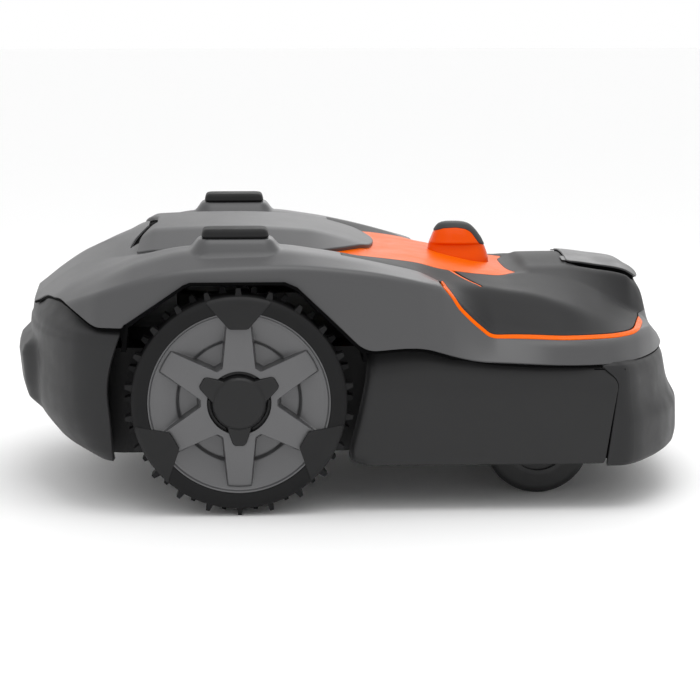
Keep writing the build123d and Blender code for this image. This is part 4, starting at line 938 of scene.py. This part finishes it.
# Stop knob: rings from the foot up, (height, rear end, front end, half width).
KNOB_RINGS = [
    (252, 238, 315, 34), (262, 238, 314, 33), (268, 238, 313, 31.5), (273, 238.2, 311.5, 29),
    (278, 238.8, 309.5, 27.2), (281.5, 239.6, 308, 26.8), (283, 240, 307.4, 28.4),
    (284.2, 240.4, 306.8, 29.0), (288, 242, 305, 27.2), (293, 244, 301.6, 24.6), (298, 246.2, 297.8, 21.6),
    (302, 248.6, 294, 18.6), (305, 251.4, 290, 15.4), (306.8, 254.8, 285.5, 12.2), (307.8, 259, 280, 8.6),
    (308.2, 264, 274, 4.0), (308.3, 268.8, 269.4, 0.3)]
KNOB_CAP_LINE = [(230, 340), (243.5, 296), (247, 298.5), (257, 302), (273, 302.8), (284, 301),
                 (291, 297), (301, 283), (309, 280), (330, 280), (330, 340)]
KNOB_FOOT_Z, KNOB_LEDGE_LOW, KNOB_LEDGE_HIGH, KNOB_DOME_Z, KNOB_TOP_Z = 252, 281, 286, 304, 308.3
KNOB_DOME = 4.3
KNOB_SQUARENESS = 0.78     # 1 gives an ellipse in plan, less gives squarer corners
KNOB_CAP_GAP = 0.25
KNOB_CAP_PROUD = 0.7


def knob_grid():
    """Surface of the stop knob, with rings closer together at its ledge and its dome."""
    levels = np.concatenate([np.linspace(KNOB_FOOT_Z, KNOB_LEDGE_LOW, 12)[:-1],
                             np.linspace(KNOB_LEDGE_LOW, KNOB_LEDGE_HIGH, 9)[:-1],
                             np.linspace(KNOB_LEDGE_HIGH, KNOB_DOME_Z, 12)[:-1],
                             KNOB_TOP_Z - KNOB_DOME * np.linspace(1, 0, 14) ** 2])
    rear_x, front_x, half = smooth_line(KNOB_RINGS, levels).T
    turn = np.linspace(0, 2 * pi, 97)
    cx, sx = np.cos(turn), np.sin(turn)
    u = np.sign(cx) * np.abs(cx) ** KNOB_SQUARENESS
    v = np.sign(sx) * np.abs(sx) ** KNOB_SQUARENESS
    middle, reach = (rear_x + front_x) / 2, (front_x - rear_x) / 2
    x = middle[None] + reach[None] * u[:, None]
    y = half[None] * v[:, None]
    return np.stack([x, y, levels[None] + 0 * x], -1)


def make_stop_knob():
    """The orange body and the black rubber grip over its top."""
    knob = knob_grid()
    to_cap = distance_from_side(knob, rounded(KNOB_CAP_LINE, 3))
    make_panel("stop_button_body", knob, KNOB_CAP_GAP - to_cap, "stop_button", "knob_orange",
               ["stop_button"], wall=2.5, edge=0.4)
    make_panel("stop_button_grip", knob, to_cap + KNOB_CAP_GAP, "stop_button", "knob_rubber",
               ["stop_button_cap"], wall=2.5, edge=0.7, lift=KNOB_CAP_PROUD)


PIN_X, PIN_Z, PIN_HALF, PIN_RADIUS = 400.0, 261.5, 34.0, 1.4
PIN_SIDES = 24


def make_hinge_pin():
    """The service lid's pin, sunk into the wall of the hood."""
    turn = np.linspace(0, 2 * pi, PIN_SIDES, endpoint=False)
    x = PIN_X + PIN_RADIUS * np.cos(turn)
    z = PIN_Z + PIN_RADIUS * np.sin(turn)
    rings = [np.column_stack([x, np.full(PIN_SIDES, y), z]) for y in (PIN_HALF, -PIN_HALF)]
    ring_stack("service_lid_pin_rod", rings, "shell", "axle_steel", ["service_lid_pin"])


make_stop_knob()
make_hinge_pin()


# ---------- materials
DRIFT_SCALE, GLOSS_SCALE, SCUFF_SCALE = 9.0, 35.0, 120.0


def new_material(name):
    material = bpy.data.materials.new(name)
    material.use_nodes = True
    return material, material.node_tree.nodes, material.node_tree.links


def noise(nodes, links, coordinates, scale, detail=3.0, roughness=0.55):
    node = nodes.new("ShaderNodeTexNoise")
    node.inputs["Scale"].default_value = scale
    node.inputs["Detail"].default_value = detail
    node.inputs["Roughness"].default_value = roughness
    links.new(coordinates, node.inputs["Vector"])
    return node.outputs["Fac"]


def mapped(nodes, links, value, low, high, out_low, out_high):
    """The value's range from low to high, stretched to another range."""
    node = nodes.new("ShaderNodeMapRange")
    for socket, number in (("From Min", low), ("From Max", high), ("To Min", out_low),
                           ("To Max", out_high)):
        node.inputs[socket].default_value = number
    links.new(value, node.inputs["Value"])
    return node.outputs["Result"]


MIX_FIRST, MIX_SECOND, MIX_RESULT = 6, 7, 2       # colour sockets of a Mix node


def mixed(nodes, links, factor, first, second):
    """Mix of two colours, each given as numbers or as a node's output."""
    node = nodes.new("ShaderNodeMix")
    node.data_type = "RGBA"
    links.new(factor, node.inputs["Factor"])
    for socket, colour in ((MIX_FIRST, first), (MIX_SECOND, second)):
        if isinstance(colour, tuple):
            node.inputs[socket].default_value = (*colour, 1)
        else:
            links.new(colour, node.inputs[socket])
    return node.outputs[MIX_RESULT]


def scaled(colour, factor):
    return tuple(min(1.0, c * factor) for c in colour)


def moulded(name, colour, roughness, grain=1400.0, grain_depth=0.00006, wear=1.35, variation=0.06,
            specular=0.5, coat=0.0, metallic=0.0, gloss_drift=0.05):
    """Moulded plastic, rubber or metal: fine grain, slow colour drift and edges rubbed lighter."""
    material, nodes, links = new_material(name)
    shader = nodes["Principled BSDF"]
    shader.inputs["Specular IOR Level"].default_value = specular
    shader.inputs["Coat Weight"].default_value = coat
    shader.inputs["Coat Roughness"].default_value = 0.12
    shader.inputs["Metallic"].default_value = metallic
    where = nodes.new("ShaderNodeTexCoord").outputs["Object"]
    drift = noise(nodes, links, where, DRIFT_SCALE, 4.0)
    drift = mapped(nodes, links, drift, 0.3, 0.7, 0.0, 1.0)
    base = mixed(nodes, links, drift, scaled(colour, 1 - variation), scaled(colour, 1 + variation))
    fine = noise(nodes, links, where, grain, 2.0, 0.6)
    speckle = mapped(nodes, links, fine, 0.35, 0.75, 0.0, 0.35)
    base = mixed(nodes, links, speckle, base, scaled(colour, 1.18))
    worn = nodes.new("ShaderNodeNewGeometry").outputs["Pointiness"]
    scuff = noise(nodes, links, where, SCUFF_SCALE, 5.0, 0.7)
    edge = mapped(nodes, links, worn, 0.52, 0.62, 0.0, 1.0)
    patch = mapped(nodes, links, scuff, 0.42, 0.62, 0.15, 0.75)
    product = nodes.new("ShaderNodeMath")
    product.operation = "MULTIPLY"
    links.new(edge, product.inputs[0])
    links.new(patch, product.inputs[1])
    base = mixed(nodes, links, product.outputs[0], base, scaled(colour, wear))
    links.new(base, shader.inputs["Base Color"])
    gloss = noise(nodes, links, where, GLOSS_SCALE, 4.0, 0.6)
    gloss = mapped(nodes, links, gloss, 0.3, 0.7, roughness - gloss_drift, roughness + gloss_drift)
    links.new(gloss, shader.inputs["Roughness"])
    bump = nodes.new("ShaderNodeBump")
    bump.inputs["Distance"].default_value = grain_depth
    bump.inputs["Strength"].default_value = 1.0
    links.new(fine, bump.inputs["Height"])
    links.new(bump.outputs["Normal"], shader.inputs["Normal"])
    return material


def finish(colour, roughness, **more):
    return dict(colour=colour, roughness=roughness, **more)


def metal(colour, roughness, metallic=0.95):
    return finish(colour, roughness, metallic=metallic, wear=1.2)


# Base colours; the finishes below are named after the material slots.
GREY = (0.056, 0.056, 0.058)
DARK = (0.026, 0.026, 0.027)
BLACK = (0.008, 0.008, 0.0085)
ORANGE = (0.80, 0.118, 0.0)
FINISHES = {
    "cover_grey": finish(GREY, 0.40, variation=0.02, gloss_drift=0.012),
    "deck_grey": finish(GREY, 0.44, variation=0.02, specular=0.42, gloss_drift=0.012),
    "hood_grey": finish(scaled(GREY, 0.42), 0.5, variation=0.02, specular=0.13, gloss_drift=0.012),
    "lid_black": finish(scaled(GREY, 0.5), 0.36, variation=0.03, specular=0.4),
    "skirt_grey": finish(scaled(DARK, 0.6), 0.38, specular=0.3),
    "bumper_rubber": finish(scaled(DARK, 0.8), 0.45, specular=0.22),
    "panel_orange": finish(scaled(ORANGE, 0.94), 0.34, wear=1.02, variation=0.03, specular=0.05),
    "knob_orange": finish((0.7, 0.07, 0.0), 0.22, wear=1.02, variation=0.03, specular=0.08),
    "orange_trim": finish(ORANGE, 0.3, wear=1.02, variation=0.03, specular=0.05),
    "knob_rubber": finish(scaled(DARK, 0.9), 0.6, specular=0.35),
    "pad_rubber": finish(scaled(DARK, 0.45), 0.6, specular=0.2),
    "tyre_rubber": finish((0.009, 0.009, 0.0094), 0.6, grain=900.0, grain_depth=0.00012, specular=0.16),
    "insert_rubber": finish((0.008, 0.008, 0.0085), 0.55, specular=0.3),
    "rim_grey": finish((0.115, 0.115, 0.118), 0.32, wear=1.4, metallic=0.45, variation=0.03,
                     gloss_drift=0.02),
    "hub_black": finish((0.01, 0.01, 0.0105), 0.38, wear=1.3, specular=0.3),
    # Near-black, hardly glossy finish of the sheets of painted shade behind the gaps and under the lid's
    # edge.
    "liner_black": finish(scaled(BLACK, 0.25), 0.8, specular=0.03),
    "housing_black": finish(BLACK, 0.55),
    "chassis_plastic": finish(scaled(BLACK, 1.1), 0.6, specular=0.3),
    "battery_casing": finish((0.015, 0.015, 0.017), 0.5),
    "motor_steel": metal((0.42, 0.42, 0.44), 0.4, 0.9),
    "screw_steel": metal((0.55, 0.55, 0.56), 0.33),
    "blade_steel": metal((0.62, 0.62, 0.63), 0.28, 1.0),
    "axle_steel": metal((0.5, 0.5, 0.52), 0.3),
    "spring_steel": metal((0.5, 0.5, 0.52), 0.3),
    "contact_metal": metal((0.72, 0.55, 0.3), 0.28),
    "bush_plastic": finish((0.4, 0.38, 0.33), 0.45),
    "fork_plastic": finish(scaled(BLACK, 1.3), 0.5),
    "caster_hub": finish(scaled(BLACK, 1.5), 0.45),
    "caster_rubber": finish((0.014, 0.014, 0.0145), 0.6),
    "disc_plastic": finish((0.016, 0.016, 0.0165), 0.5),
    "screen": finish((0.004, 0.0045, 0.0055), 0.12, grain_depth=0.0, wear=1.0, coat=0.8),
    "mount_rubber": finish((0.012, 0.012, 0.0125), 0.65),
    "carriage_plastic": finish((0.1, 0.1, 0.102), 0.5),
    "keypad_rubber": finish((0.022, 0.022, 0.023), 0.6),
    "board_green": finish((0.01, 0.09, 0.03), 0.35),
}


def paint(piece, material):
    piece.data.materials.clear()
    piece.data.materials.append(material)


def paint_everything():
    """Gives every piece and every CAD node the finish of its material slot."""
    finishes = {slot: moulded(slot, **facts) for slot, facts in FINISHES.items()}
    slots = {part["node"]: part["material_slot"] for part in frame["record"]["subparts"]}
    for node, piece in NODES.items():
        paint(piece, finishes[slots[node]])
    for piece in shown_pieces():
        if piece.name not in NODES:
            paint(piece, finishes[PIECE_SLOTS[piece.name]])


paint_everything()
